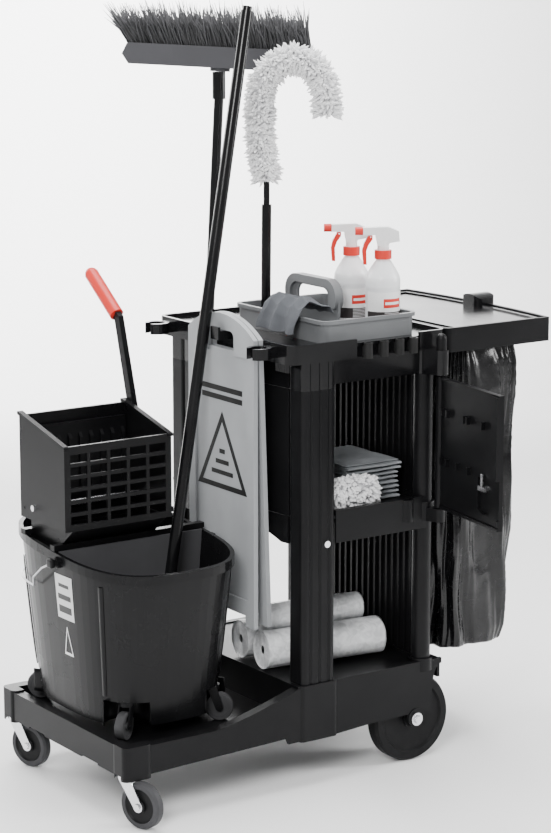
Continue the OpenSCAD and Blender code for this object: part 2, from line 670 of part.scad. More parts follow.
bail_d = 5;
bail_x = bucket_hx + 9;
bail_pivot = [-8, bucket_top - 22];
bail_end = bail_pivot + [300, -88];
module bail() color(zinc) {
  for (s = [-1, 1]) {
    along_x(bucket_c[0] + s * (bail_x - 3) - 9, bucket_c[0] + s * (bail_x - 3) + 9)
      translate(bail_pivot) circle(d = bail_d);
    along_x(bucket_c[0] + s * bail_x - bail_d / 2, bucket_c[0] + s * bail_x + bail_d / 2)
      bar2d(bail_pivot, bail_end, bail_d);
  }
  along_x(bucket_c[0] - bail_x, bucket_c[0] + bail_x) translate(bail_end) circle(d = bail_d);
}

bucket_r = bucket_wheel_d / 2;
// Places its children at a bucket caster, z = 0 on the bay's floor
module at_bucket(i) translate([bucket_stems[i][0], bucket_stems[i][1], bay_z + 0.05])
  rotate(bucket_trails[i]) children();

module bucket_fork() {
  plate_z = caster_roof - bay_z - 10;
  translate([0, 0, plate_z]) cylinder(r = 17, h = 9.5);
  translate([0, 0, plate_z + 4]) cylinder(d = 10, h = 11);
  for (s = [-1, 1]) along_y(s * 13 - 1.5, s * 13 + 1.5) {
    polygon([[-10, plate_z + 4], [11, plate_z + 4], [bucket_trail + 8, bucket_r + 4],
      [bucket_trail + 4, bucket_r - 7], [bucket_trail - 7, bucket_r - 5]]);
    translate([bucket_trail, bucket_r]) circle(r = 8);
  }
  along_y(-16, 16) translate([bucket_trail, bucket_r]) circle(d = 6);
}

module bucket_wheel() translate([bucket_trail, 0, bucket_r]) rotate([90, 0, 0]) rotate_extrude($fn = 60)
  polygon([[3 + running, -11], [9, -11], [9, -8], [bucket_r - 8, -8], [bucket_r - 8, -10], [bucket_r - 2, -10],
    [bucket_r, -7], [bucket_r, 7], [bucket_r - 2, 10], [bucket_r - 8, 10], [bucket_r - 8, 8], [9, 8], [9, 11],
    [3 + running, 11]]);

module bucket_fork_1() color(plastic) at_bucket(0) bucket_fork();
module bucket_fork_2() color(plastic) at_bucket(1) bucket_fork();
module bucket_fork_3() color(plastic) at_bucket(2) bucket_fork();
module bucket_fork_4() color(plastic) at_bucket(3) bucket_fork();
module bucket_wheel_1() color(grey) at_bucket(0) bucket_wheel();
module bucket_wheel_2() color(grey) at_bucket(1) bucket_wheel();
module bucket_wheel_3() color(grey) at_bucket(2) bucket_wheel();
module bucket_wheel_4() color(grey) at_bucket(3) bucket_wheel();

// ---- Wringer ------------------------------------------------------------------------------------

wring_far = wring_y + wringer_d;
wring_right = wring_x + wringer_w;
wring_z = 600;
near_top = 788;
far_top = 834;
module wringer_side() difference() {
  polygon([[wring_y, wring_z], [wring_y, near_top], [wring_far, far_top], [wring_far, wring_z]]);
  translate(shaft_at) circle(d = shaft_d + 2 * running);
  translate(press_at) circle(d = 8 + 2 * running);
}

// End view of the funnel that hangs into the bucket behind its divider
module funnel(inset) polygon([[wring_y + 2 + inset * 1.6, wring_z + 2], [8 + inset, 562], [8 + inset, 470 - inset],
  [wring_far - 30 - inset, 470 - inset], [wring_far - 2 - inset, wring_z + 2]]);

grid_cols = 5;
grid_rows = 6;
grid_bar = 8;
module wringer_basket() color(plastic) {
  along_x(wring_x, wring_x + wringer_t) wringer_side();
  along_x(wring_right - wringer_t, wring_right) wringer_side();
  // near grid
  along_y(wring_y, wring_y + 7) difference() {
    translate([wring_x + 1, wring_z]) square([wringer_w - 2, near_top - wring_z - 2]);
    pitch_x = (wringer_w - 22) / grid_cols;
    pitch_z = (near_top - wring_z - 26) / grid_rows;
    for (i = [0:grid_cols - 1], j = [0:grid_rows - 1])
      translate([wring_x + 11 + i * pitch_x + grid_bar / 2, wring_z + 10 + j * pitch_z + grid_bar / 2])
        square([pitch_x - grid_bar, pitch_z - grid_bar]);
  }
  // far wall, funnel and the bars that rest on the bucket's rim
  translate([wring_x + 1, wring_far - wringer_t, wring_z]) cube([wringer_w - 2, wringer_t, far_top - wring_z - 8]);
  difference() {
    along_x(wring_x + 22, wring_right - 10) funnel(0);
    along_x(wring_x + 26, wring_right - 14) funnel(4);
  }
  for (x = [wring_x + 1, wring_right - 14]) translate([x, wring_y + 4, wring_z]) cube([x < -300 ? 25 : 13, wringer_d - 8, 4]);
  for (y = [10, 138]) translate([0, 0, bucket_top + (y - bucket_c[1]) * tan(rim_tilt) + rest_gap + 1.2])
    translate([bucket_c[0] - bucket_hx - 2, y - 9, 0]) cube([2 * bucket_hx + 4, 18, 12]);
  // rolled edge along the tops of the side plates
  for (x = [wring_x - 3, wring_right - wringer_t - 3]) along_x(x, x + wringer_t + 6)
    bar2d([wring_y, near_top - 4], [wring_far, far_top - 4], 8);
}

module press_plate() color([0.05, 0.05, 0.055]) {
  x0 = wring_x + wringer_t + 4;
  x1 = wring_right - wringer_t - 4;
  along_x(x0, x1) polygon([press_at - [4.5, 0], press_at + [4.5, 0], [wring_far - 11.5, far_top - 34], [wring_far - 20.5, far_top - 34]]);
  for (i = [0:8]) along_x(x0 + 18 + i * 27, x0 + 26 + i * 27)
    polygon([press_at + [0, 16], press_at + [-10, 30], [wring_far - 28, far_top - 70], [wring_far - 16, far_top - 50]]);
  along_x(wring_x + 1, wring_right - 1) translate(press_at) circle(d = 7.8);
}

module wringer_shaft() color(zinc) along_x(wring_x - 8, lever_x + 10) translate(shaft_at) circle(d = shaft_d);

lever_knee = [188, 1008];
lever_tip = [306, 1094];
lever_bend = [134, 820];
// Side view of the bent lever, as one polygon
lever_stub = lever_knee + 0.3 * (lever_tip - lever_knee);
function across(a, b, w) = let (d = (b - a) / norm(b - a)) [-d[1] * w / 2, d[0] * w / 2];
module lever_outline() polygon([shaft_at + across(shaft_at, lever_bend, 24), lever_bend + across(shaft_at, lever_knee, 23),
  lever_knee + across(lever_bend, lever_tip, 21), lever_stub + across(lever_knee, lever_tip, 20),
  lever_stub - across(lever_knee, lever_tip, 20), lever_knee - across(lever_bend, lever_tip, 21),
  lever_bend - across(shaft_at, lever_knee, 23), shaft_at - across(shaft_at, lever_bend, 24)]);
module wringer_lever() color(plastic) along_x(lever_x - 6.5, lever_x + 6.5) difference() {
  union() {
    lever_outline();
    translate(shaft_at) circle(r = 20);
  }
  translate(shaft_at) circle(d = shaft_d + 0.02);
}

module lever_grip() color([0.75, 0.08, 0.08]) difference() {
  grip_v = lever_tip - lever_knee;
  start = lever_knee + 0.08 * grip_v;
  union() {
    rod([lever_x, start[0], start[1]], [lever_x, lever_tip[0], lever_tip[1]], 32);
    translate([lever_x, lever_tip[0], lever_tip[1]]) sphere(d = 30);
  }
  along_x(lever_x - 6.6, lever_x + 6.6) polygon([lever_knee + across(lever_knee, lever_tip, 20.3),
    lever_stub + across(lever_knee, lever_tip, 20.3) + 0.002 * grip_v, lever_stub - across(lever_knee, lever_tip, 20.3) + 0.002 * grip_v,
    lever_knee - across(lever_knee, lever_tip, 20.3)]);
}

// ---- Tools ------------------------------------------------------------------------------------------

module mop_handle() color([0.06, 0.06, 0.06]) {
  rod(mop_foot, mop_top, mop_d);
  rod(mop_top, mop_top + 10 * mop_way, mop_d - 5);
}

module mop_head() color([0.85, 0.85, 0.83]) difference() {
  translate([mop_foot[0] + 6, mop_foot[1] - 3, bucket_floor + rest_gap]) cylinder(r1 = 50, r2 = 44, h = 92);
  translate([mop_foot[0] + 8.3, mop_foot[1] + 2.3, mop_foot[2] - 3]) cylinder(d = 46, h = 120);
}

module broom_handle() color([0.06, 0.06, 0.06]) {
  rod(broom_foot, broom_neck, broom_d);
  translate([broom_neck[0], broom_neck[1], broom_neck[2] - 8]) cylinder(d = 30, h = 62);
}

broom_head = [broom_neck[0] + 54 * broom_lean, broom_neck[1], broom_neck[2] + 55];
module at_broom() translate(broom_head) rotate([0, atan(broom_lean), 0]) rotate(broom_axis) children();
module broom_block() color([0.25, 0.25, 0.26]) at_broom() {
  cylinder(d = 46, h = 20);
  along_y(-32, 32) polygon([[-broom_l / 2 + 16, 8], [broom_l / 2 - 16, 8], [broom_l / 2, 30],
    [broom_l / 2 - 12, 56], [-broom_l / 2 + 12, 56], [-broom_l / 2, 30]]);
}

module broom_bristles() color([0.12, 0.12, 0.12]) at_broom() along_y(-30, 30)
  polygon([[-broom_l / 2 + 10, 56], [broom_l / 2 - 14, 56], [broom_l / 2 - 44, 122], [-broom_l / 2 - 30, 126],
    [-broom_l / 2 - 34, 74]]);

duster_path = concat([[0, 1326], [-14, 1400]],
  [for (i = [0:8]) let (t = 180 - i * 180 / 8) [60 + 76 * cos(t), 1480 + 99 * sin(t)]], [[136, 1446]]);
module at_duster() translate([duster_at[0], duster_at[1], 0]) rotate(duster_axis) children();
module duster_handle() color([0.07, 0.07, 0.07]) at_duster() {
  rod([-2, 0, caddy_z + 5], [0, 0, 1252], 22);
  rod([0, 0, 1252], [0, 0, 1306], 14);
}

module duster_sleeve() color([0.93, 0.93, 0.93]) at_duster() difference() {
  for (i = [0:len(duster_path) - 2]) hull() {
    for (p = [duster_path[i], duster_path[i + 1]]) translate([p[0], 0, p[1]]) sphere(d = 68, $fn = 16);
  }
  translate([0, 0, 1250]) cylinder(d = 14.6, h = 60);
}

module sign_outline() difference() {
  union() {
    translate([sign_y - sign_w / 2, sign_bottom]) square([sign_w, 640]);
    intersection() {
      translate([sign_y, sign_top - 210]) circle(r = 210, $fn = 120);
      translate([sign_y - sign_w / 2, sign_bottom + 600]) square([sign_w, 120]);
    }
  }
  // hand opening
  rounded([sign_y - 52, sign_seat - 78], [sign_y + 52, sign_seat], 14);
  // gap between the feet
  translate([sign_y - sign_w / 2 + 34, sign_bottom - 1]) square([sign_w - 68, 26]);
}

module sign_front() color(grey) {
  difference() {
    along_x(sign_x, sign_x + sign_t) difference() {
      sign_outline();
      translate([sign_y - sign_w / 2 + 26, sign_bottom + 60]) square([sign_w - 52, 540]);
    }
    for (y = [-86, 42]) translate([sign_hinge[0], sign_y + y, sign_hinge[1]]) rotate([-90, 0, 0])
      cylinder(d = 5.6, h = 44);
  }
  along_x(sign_x + 4, sign_x + sign_t) translate([sign_y - sign_w / 2 + 20, sign_bottom + 50])
    square([sign_w - 40, 560]);
  // hinge knuckles
  for (y = [-82, 46]) translate([sign_x + sign_t + 1, sign_y + y, sign_top - 30]) rotate([-90, 0, 0]) difference() {
    cylinder(d = 12, h = 36);
    translate([0, 0, -1]) cylinder(d = 5, h = 38);
  }
}

sign_hinge = [sign_x + sign_t + 1, sign_top - 30];
module sign_back() color(grey) translate([sign_hinge[0], 0, sign_hinge[1]]) rotate([0, -sign_lean, 0])
  translate([-sign_hinge[0], 0, -sign_hinge[1]]) {
    difference() {
      along_x(sign_x + sign_t + 2, sign_x + 2 * sign_t + 2) difference() {
        sign_outline();
        translate([sign_y - sign_w / 2 + 26, sign_bottom + 60]) square([sign_w - 52, 540]);
      }
      for (y = [-83, 45]) translate([sign_hinge[0], sign_y + y, sign_hinge[1]]) rotate([-90, 0, 0])
        cylinder(d = 13, h = 38);
    }
    along_x(sign_x + sign_t + 2, sign_x + 2 * sign_t - 2) translate([sign_y - sign_w / 2 + 20, sign_bottom + 50])
      square([sign_w - 40, 560]);
    // pins in the knuckles, and the webs that carry them
    for (y = [-84, 44]) {
      translate([sign_hinge[0], sign_y + y, sign_hinge[1]]) rotate([-90, 0, 0]) cylinder(d = 4.8, h = 40);
      for (e = [-1, 38.4]) translate([sign_hinge[0], sign_y + y + e, sign_hinge[1] - 2.4]) cube([6, 2.6, 4.8]);
    }
  }

// ---- Caddy and kit --------------------------------------------------------------------------------------

caddy_z = top_z - 9.7;
caddy_wall = 3;
caddy_web = [202, 208];
module caddy() color(grey) difference() {
  union() {
    difference() {
      translate([0, 0, caddy_z]) linear_extrude(caddy_h)
        rounded(caddy_at, caddy_at + caddy_size, 18);
      translate([0, 0, caddy_z + 4]) linear_extrude(caddy_h)
        rounded(caddy_at + [caddy_wall, caddy_wall], caddy_at + caddy_size - [caddy_wall, caddy_wall], 15);
    }
    // rolled rim
    translate([0, 0, caddy_z + caddy_h - 6]) linear_extrude(8) difference() {
      rounded(caddy_at - [6, 6], caddy_at + caddy_size + [6, 6], 24);
      rounded(caddy_at + [caddy_wall, caddy_wall], caddy_at + caddy_size - [caddy_wall, caddy_wall], 15);
    }
    // middle web that rises into the carrying handle
    along_x(caddy_web[0], caddy_web[1]) union() {
      translate([caddy_at[1] + 1, caddy_z + 2]) square([caddy_size[1] - 2, 34]);
      rounded([-160, caddy_z + 10], [34, caddy_z + 122], 40);
    }
    along_x(caddy_web[0] - 8, caddy_web[1] + 8) difference() {
      rounded([-160, caddy_z + 40], [34, caddy_z + 122], 40);
      rounded([-142, caddy_z + 36], [16, caddy_z + 104], 26);
      translate([-170, caddy_z + 30]) square([220, 30]);
    }
  }
  along_x(caddy_web[0] - 20, caddy_web[1] + 20) rounded([-122, caddy_z + 50], [-4, caddy_z + 100], 20);
}

bottle_r = bottle_d / 2;
bottle_base = caddy_z + 4 + rest_gap;
bottle_neck = bottle_base + 172;
module at_spray(i) translate([bottles[i][0], bottles[i][1], 0]) rotate(spray_angle) children();
module spray_bottles() color([0.92, 0.92, 0.93]) for (i = [0, 1]) at_spray(i) translate([0, 0, bottle_base])
  rotate_extrude($fn = 64) polygon([[0, 0], [bottle_r - 4, 0], [bottle_r, 4], [bottle_r, 116], [bottle_r - 4, 128],
    [22, 154], [15, 160], [15, 172], [0, 172]]);

trigger_at = [24, 208];
module sprayer_heads() color([0.9, 0.9, 0.9]) for (i = [0, 1]) at_spray(i) translate([0, 0, bottle_base]) {
  difference() {
    translate([0, 0, 161]) cylinder(d = 38, h = 19);
    translate([0, 0, 160]) cylinder(d = 30.4, h = 12.2);
  }
  translate([0, 0, 179]) cylinder(d = 26, h = 22);
  along_y(-11, 11) difference() {
    polygon([[-34, 222], [-36, 200], [-14, 196], [-10, 190], [12, 190], [18, 214], [46, 214], [46, 230], [-10, 232]]);
    translate([trigger_at[0] - 8, 0]) square([30, 213]);
  }
  along_x(46, 62) translate([0, 222]) circle(r = 9);
}

// Trigger that pivots under the nozzle, on a pin between two cheeks
module trigger(i) at_spray(i) translate([0, 0, bottle_base]) {
  along_y(-7, 7) translate([trigger_at[0], 0]) difference() {
    polygon([[0, 212.6], [8.5, 212.6], [19, 194], [22.5, 178], [20, 148],
      [12.5, 148], [13.5, 178], [9, 191], [0, 204]]);
    translate([4, 209]) circle(d = 3);
  }
}
module trigger_a() color([0.8, 0.08, 0.08]) trigger(0);
module trigger_b() color([0.8, 0.08, 0.08]) trigger(1);

cloth_y = [-172, -20];
module draped_cloth() color(grey) along_y(cloth_y[0], cloth_y[1])
  polygon([[caddy_at[0] - 18, top_z + 1], [caddy_at[0] - 7, top_z + 1],
    [caddy_at[0] - 6.4, caddy_z + caddy_h + 2.3], [caddy_at[0] + 76, caddy_z + caddy_h + 2.3],
    [caddy_at[0] + 70, caddy_z + caddy_h + 34], [caddy_at[0] + 10, caddy_z + caddy_h + 44],
    [caddy_at[0] - 16, caddy_z + caddy_h + 20]]);

module cloth_stack() color(grey) translate([0, 0, shelf_z + rest_gap]) linear_extrude(86)
  rounded([188, -206], [358, 10], 14);

module chenille_pad() color([0.92, 0.92, 0.92]) translate([0, 0, shelf_z + rest_gap]) linear_extrude(76)
  rounded([128, -246], [262, -208], 12);

roll_d = 88;
top_roll_d = 66;
roll_z = platform_z + roll_d / 2 + rest_gap;
module liner_rolls() color([0.85, 0.85, 0.85]) {
  rod([30, -108, roll_z], [326, -150, roll_z], roll_d);
  rod([40, -6, roll_z], [322, -46, roll_z], roll_d);
  rod([60, -60, roll_z + 58], [310, -96, roll_z + 58], top_roll_d);
}

deck();
front_post_near();
front_post_far();
rear_post_near();
rear_post_far();
front_panel();
divider_panel();
middle_shelf();
top_tray();
tool_grips();
bag_hood();
bag_lid();
waste_bag();
door();
door_latch();
hinge_pins();
rear_axle();
rear_wheel_near();
rear_wheel_far();
caster_fork_near();
caster_wheel_near();
caster_tyre_near();
caster_fork_far();
caster_wheel_far();
caster_tyre_far();
screws();
bucket();
bucket_divider();
bail();
bucket_fork_1();
bucket_fork_2();
bucket_fork_3();
bucket_fork_4();
bucket_wheel_1();
bucket_wheel_2();
bucket_wheel_3();
bucket_wheel_4();
wringer_basket();
press_plate();
wringer_shaft();
wringer_lever();
lever_grip();
mop_handle();
mop_head();
broom_handle();
broom_block();
broom_bristles();
duster_handle();
duster_sleeve();
sign_front();
sign_back();
caddy();
spray_bottles();
sprayer_heads();
trigger_a();
trigger_b();
draped_cloth();
cloth_stack();
chenille_pad();
liner_rolls();
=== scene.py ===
"""Housekeeping cart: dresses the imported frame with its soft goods, prints and finishes."""
import bpy
import math
import numpy as np
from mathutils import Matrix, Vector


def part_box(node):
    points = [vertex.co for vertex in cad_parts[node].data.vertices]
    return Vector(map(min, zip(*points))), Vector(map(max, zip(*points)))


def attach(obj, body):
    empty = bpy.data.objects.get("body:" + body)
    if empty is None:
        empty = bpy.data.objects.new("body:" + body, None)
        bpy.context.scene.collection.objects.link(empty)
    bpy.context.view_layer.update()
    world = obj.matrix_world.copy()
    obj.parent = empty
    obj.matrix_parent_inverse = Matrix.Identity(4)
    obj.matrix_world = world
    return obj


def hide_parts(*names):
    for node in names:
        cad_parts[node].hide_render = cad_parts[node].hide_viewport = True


bl_info = {
    "name": "Housekeeping Cart Kit",
    "version": (1, 0, 0),
    "blender": (4, 5, 0),
    "location": "3D View > Sidebar > Cart",
    "description": "Dresses a housekeeping cart with its bag, cloths, tools and finishes",
    "category": "Object",
}

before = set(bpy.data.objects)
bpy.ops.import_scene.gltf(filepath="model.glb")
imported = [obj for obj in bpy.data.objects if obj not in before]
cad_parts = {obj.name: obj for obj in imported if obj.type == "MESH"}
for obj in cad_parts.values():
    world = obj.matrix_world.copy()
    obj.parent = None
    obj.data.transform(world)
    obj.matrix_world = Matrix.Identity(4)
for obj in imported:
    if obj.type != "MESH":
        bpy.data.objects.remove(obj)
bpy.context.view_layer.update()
TAU = 2 * math.pi

# Axes and turn of the two bottles, and the places of the pail's stems, as the frame has them
BOTTLES, BOTTLE_TURN = ((0.290, -0.088), (0.312, -0.176)), math.radians(148)
PAIL_MID, PAIL_HALF = np.array([-0.240, 0.024, 0]), (0.190, 0.258)
PAIL_STEMS = ((-0.346, -0.150), (-0.128, -0.150), (-0.346, 0.192), (-0.128, 0.192))
BAIL_Y, BAIL_Z, BAIL_ENDS = -0.008, 0.528, (-0.4455, -0.0345)
DUSTER_AT, DUSTER_TURN = (0.178, 0.084), math.radians(-34.5)
BROOM_NECK, BROOM_LEAN, BROOM_TURN = (0.180, 0.281, 1.485), 70 / 1185, math.radians(-40)
BLOCK_TOP = 0.055   # from the broom's neck to its block, and from there to the bristles' roots

CAMERA_AT, CAMERA_DOWN, CAMERA_YAW, CAMERA_LENS = (-2.9728, -4.5250, 1.8839), 11.349, -34.564, 107.1875


# ---- Surfaces -----------------------------------------------------------------------------------

def surface(name, points, wrap_u=False, wrap_v=False, uv=None, smooth=True):
    """A mesh from a grid of points (rows, columns, 3): neighbours in both directions are joined into quads."""
    rows, cols = points.shape[:2]
    i = np.arange(rows if wrap_u else rows - 1)[:, None]
    j = np.arange(cols if wrap_v else cols - 1)[None, :]
    i2, j2 = (i + 1) % rows, (j + 1) % cols
    quads = packed(i * cols + j, i * cols + j2, i2 * cols + j2, i2 * cols + j).reshape(-1, 4)
    return solid(name, points.reshape(-1, 3), quads, None if uv is None else uv.reshape(-1, 2), smooth)


def solid(name, verts, faces, uv=None, smooth=True):
    """A mesh object from arrays of points and faces, with one UV pair for each point if given."""
    mesh = bpy.data.meshes.new(name)
    corners = faces if isinstance(faces, list) else faces.tolist()
    mesh.from_pydata(np.asarray(verts, dtype=float).tolist(), [], corners)
    mesh.polygons.foreach_set("use_smooth", np.full(len(mesh.polygons), smooth))
    if uv is not None:
        loops = np.empty(len(mesh.loops), dtype=np.int32)
        mesh.loops.foreach_get("vertex_index", loops)
        layer = mesh.uv_layers.new(name="surface")
        layer.data.foreach_set("uv", np.asarray(uv, dtype=float)[loops].ravel())
    mesh.update()
    piece = bpy.data.objects.new(name, mesh)
    bpy.context.scene.collection.objects.link(piece)
    return piece


def packed(*parts):
    """Arrays of coordinates broadcast together and joined along a new last axis."""
    return np.stack(np.broadcast_arrays(*parts), axis=-1)


def facing_out(points):
    """Turns a grid over if its faces point inwards: the sign of the sum of (face centre - middle) . normal."""
    a, b = points[1:, :-1] - points[:-1, :-1], points[:-1, 1:] - points[:-1, :-1]
    out = ((points[:-1, :-1] - points.mean(axis=(0, 1))) * np.cross(b, a)).sum()
    return points if out > 0 else points[::-1]


def unit(v):
    """Vectors scaled to length one."""
    return v / np.maximum(np.linalg.norm(v, axis=-1, keepdims=True), 1e-12)


def side_frames(path):
    """Two unit vectors across a path at each of its points: crosses of the tangent with a fixed helper."""
    tangent = unit(np.gradient(path, axis=0))
    helper = np.eye(3)[np.argmin(np.abs(tangent).max(axis=0))]
    one = unit(np.cross(tangent, helper))
    return one, np.cross(tangent, one)


def tube(path, radius, sides=24):
    """Circle carried along a path: path + r cos(a) n + r sin(a) b, where r may change along the path."""
    path = np.asarray(path, dtype=float)
    one, two = side_frames(path)
    a = np.linspace(0, TAU, sides, endpoint=False)[None, :, None]
    r = np.broadcast_to(np.asarray(radius, dtype=float), (len(path),))[:, None, None]
    return path[:, None] + r * (np.cos(a) * one[:, None] + np.sin(a) * two[:, None])


def turned(profile, at, sides=64):
    """Profile of (radius, height) turned round an upright axis through the point at."""
    profile = np.asarray(profile, dtype=float)
    a = np.linspace(0, TAU, sides, endpoint=False)[None, :]
    r, z = profile[:, :1], profile[:, 1:]
    return packed(at[0] + r * np.cos(a), at[1] + r * np.sin(a), at[2] + z)


def resampled(points, count):
    """The same polyline with evenly spaced points, by interpolation over its length."""
    points = np.asarray(points, dtype=float)
    s = np.r_[0, np.cumsum(np.linalg.norm(np.diff(points, axis=0), axis=1))]
    t = np.linspace(0, s[-1], count)
    return np.stack([np.interp(t, s, points[:, k]) for k in range(points.shape[1])], axis=1)


def waves(u, v, seed, count=6, low=1.0, high=6.0):
    """Smooth ripple between about -1 and 1: sines in random directions, with frequencies low to high."""
    rng = np.random.default_rng(seed)
    total = 0
    for _ in range(count):
        angle, f, phase = rng.uniform(0, TAU), rng.uniform(low, high), rng.uniform(0, TAU)
        total = total + np.sin(TAU * f * (u * math.cos(angle) + v * math.sin(angle)) + phase)
    return total / count


def noodles(name, roots, ways, length, radius, droop, seed, sides=6, rings=5):
    """Many short yarns: each is root + way t L, bent down by droop t^2 L, with a radius that closes at its tip."""
    rng = np.random.default_rng(seed)
    n = len(roots)
    length = np.broadcast_to(length, (n,)) * rng.uniform(0.75, 1.15, n)
    t = np.linspace(0, 1, rings + 1)[None, :, None]
    curl = unit(rng.normal(size=(n, 3)))[:, None] * (0.25 * length[:, None, None]) * t ** 2
    mid = roots[:, None] + ways[:, None] * t * length[:, None, None] + curl
    mid[..., 2] -= droop * (t[..., 0] ** 2) * length[:, None]
    one = unit(np.cross(ways, unit(rng.normal(size=(n, 3)))))[:, None, None]
    two = np.cross(ways[:, None, None], one)
    a = np.linspace(0, TAU, sides, endpoint=False)[None, None, :, None]
    shape = np.interp(np.linspace(0, 1, rings + 1), [0, 0.25, 0.7, 0.92, 1], [0.75, 1, 1, 0.7, 0.12])
    r = radius * rng.uniform(0.85, 1.15, (n, 1, 1, 1)) * shape[None, :, None, None]
    ring = mid[:, :, None] + r * (np.cos(a) * one + np.sin(a) * two)
    verts = ring.reshape(-1, 3)
    base = (np.arange(n) * (rings + 1) * sides)[:, None, None]
    k = np.arange(rings)[None, :, None] * sides
    j = np.arange(sides)[None, None, :]
    j2 = (j + 1) % sides
    quads = packed(base + k + j, base + k + j2, base + k + sides + j2, base + k + sides + j).reshape(-1, 4)
    tips = (base[:, 0] + rings * sides + np.arange(sides)[None, :])
    u = np.repeat(rng.uniform(0, 1, n), (rings + 1) * sides)
    v = np.tile(np.repeat(np.linspace(0, 1, rings + 1), sides), n)
    return solid(name, verts, quads.tolist() + tips.tolist(), packed(u, v))


def kept_above(piece, floor):
    """Lifts every vertex that lies under a height up to it."""
    where = np.empty(len(piece.data.vertices) * 3)
    piece.data.vertices.foreach_get("co", where)
    where[2::3] = np.maximum(where[2::3], floor)
    piece.data.vertices.foreach_set("co", where)


def unit_uv(a, h):
    """UV from 0 to 1 over a patch of angles a and heights h."""
    return packed((a - a.min()) / np.ptp(a), (h - h.min()) / np.ptp(h))


def thicken(piece, amount, levels=0):
    """Gives a skin its thickness, then smooths it when levels is above zero."""
    wall = piece.modifiers.new("wall", "SOLIDIFY")
    wall.thickness, wall.offset = amount, 0
    if levels:
        soft = piece.modifiers.new("soft", "SUBSURF")
        soft.levels = soft.render_levels = levels


def settle(piece, body, slot, finish, *nodes):
    """Puts a piece on its body with its finish, in place of the CAD nodes it stands for."""
    piece.data.materials.append(finish)
    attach(piece, body)
    if nodes:
        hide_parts(*nodes)
    return piece


# ---- Finishes -----------------------------------------------------------------------------------

class Wire:
    """One output in a material's node tree, on which arithmetic adds Math nodes."""

    def __init__(self, finish, socket):
        self.finish, self.socket = finish, socket

    def math(self, operation, *others):
        return self.finish.node("ShaderNodeMath", {"operation": operation}, [self, *others])

    def __add__(self, other): return self.math("ADD", other)
    def __mul__(self, other): return self.math("MULTIPLY", other)
    def __sub__(self, other): return self.math("SUBTRACT", other)
    def __gt__(self, other): return self.math("GREATER_THAN", other)
    def __lt__(self, other): return self.math("LESS_THAN", other)
    __radd__, __rmul__ = __add__, __mul__

    def sin(self): return self.math("SINE")
    def fract(self): return self.math("FRACT")
    def clamp(self): return self.finish.node("ShaderNodeClamp", {}, [self])

    def ramp(self, low, high):
        """0 below low, 1 above high, smooth between."""
        return self.finish.node("ShaderNodeMapRange", {"interpolation_type": "SMOOTHSTEP"},
                                {"Value": self, "From Min": low, "From Max": high})


class Finish:
    """A material under construction: one Principled shader and the nodes that feed it."""

    def __init__(self, name, color, roughness, metallic=0.0, specular=0.3, coat=0.0, alpha=1.0):
        self.material = bpy.data.materials.new(name)
        self.material.use_nodes = True
        self.tree = self.material.node_tree
        self.shader = next(n for n in self.tree.nodes if n.type == "BSDF_PRINCIPLED")
        self.material.diffuse_color = (*color, 1)
        for key, value in (("Base Color", (*color, 1)), ("Roughness", roughness), ("Metallic", metallic),
                           ("Specular IOR Level", specular), ("Coat Weight", coat), ("Coat Roughness", 0.12),
                           ("Alpha", alpha)):
            self.shader.inputs[key].default_value = value

    def node(self, kind, settings, inputs, out=0):
        """Adds a node: first its settings, then values or wires for its sockets, by name or in order."""
        made = self.tree.nodes.new(kind)
        for key, value in settings.items():
            if key == "stops":
                while len(made.color_ramp.elements) < len(value):
                    made.color_ramp.elements.new(0.5)
                for stop, (where, color) in zip(made.color_ramp.elements, value):
                    stop.position, stop.color = where, (*color, 1)
            else:
                setattr(made, key, value)
        for key, value in (inputs.items() if isinstance(inputs, dict) else enumerate(inputs)):
            if isinstance(value, Wire):
                self.tree.links.new(value.socket, made.inputs[key])
            else:
                made.inputs[key].default_value = value
        return Wire(self, made.outputs[out])

    def feed(self, key, wire):
        self.tree.links.new(wire.socket, self.shader.inputs[key])
        return self

    def place(self):
        """Object coordinates, in metres."""
        return self.node("ShaderNodeTexCoord", {}, {}, "Object")

    def along(self, axis, where=None):
        """One coordinate of a position: X, Y or Z."""
        return self.node("ShaderNodeSeparateXYZ", {}, [where or self.place()], axis)

    def uv(self, axis):
        return self.along(axis, self.node("ShaderNodeTexCoord", {}, {}, "UV"))

    def noise(self, scale, detail=4.0, distortion=0.0, where=None, out=0):
        return self.node("ShaderNodeTexNoise", {}, {"Vector": where or self.place(), "Scale": scale,
                                                    "Detail": detail, "Distortion": distortion}, out)

    def cells(self, scale, feature="F1", where=None):
        return self.node("ShaderNodeTexVoronoi", {"feature": feature},
                         {"Vector": where or self.place(), "Scale": scale})

    def stretched(self, x, y, z):
        """Object coordinates scaled differently along each axis."""
        return self.node("ShaderNodeMapping", {}, {"Vector": self.place(), "Scale": (x, y, z)})

    def blend(self, amount, one, two):
        """Colour one where amount is 0 and two where it is 1."""
        sides = {"Factor": amount, 6: (*one, 1) if isinstance(one, tuple) else one,
                 7: (*two, 1) if isinstance(two, tuple) else two}
        return self.node("ShaderNodeMix", {"data_type": "RGBA"}, sides, 2)

    def bump(self, height, depth, strength=1.0, after=None):
        """Relief of depth metres from a height between 0 and 1."""
        sides = {"Strength": strength, "Distance": depth, "Height": height}
        if after is not None:
            sides["Normal"] = after
        return self.node("ShaderNodeBump", {}, sides)


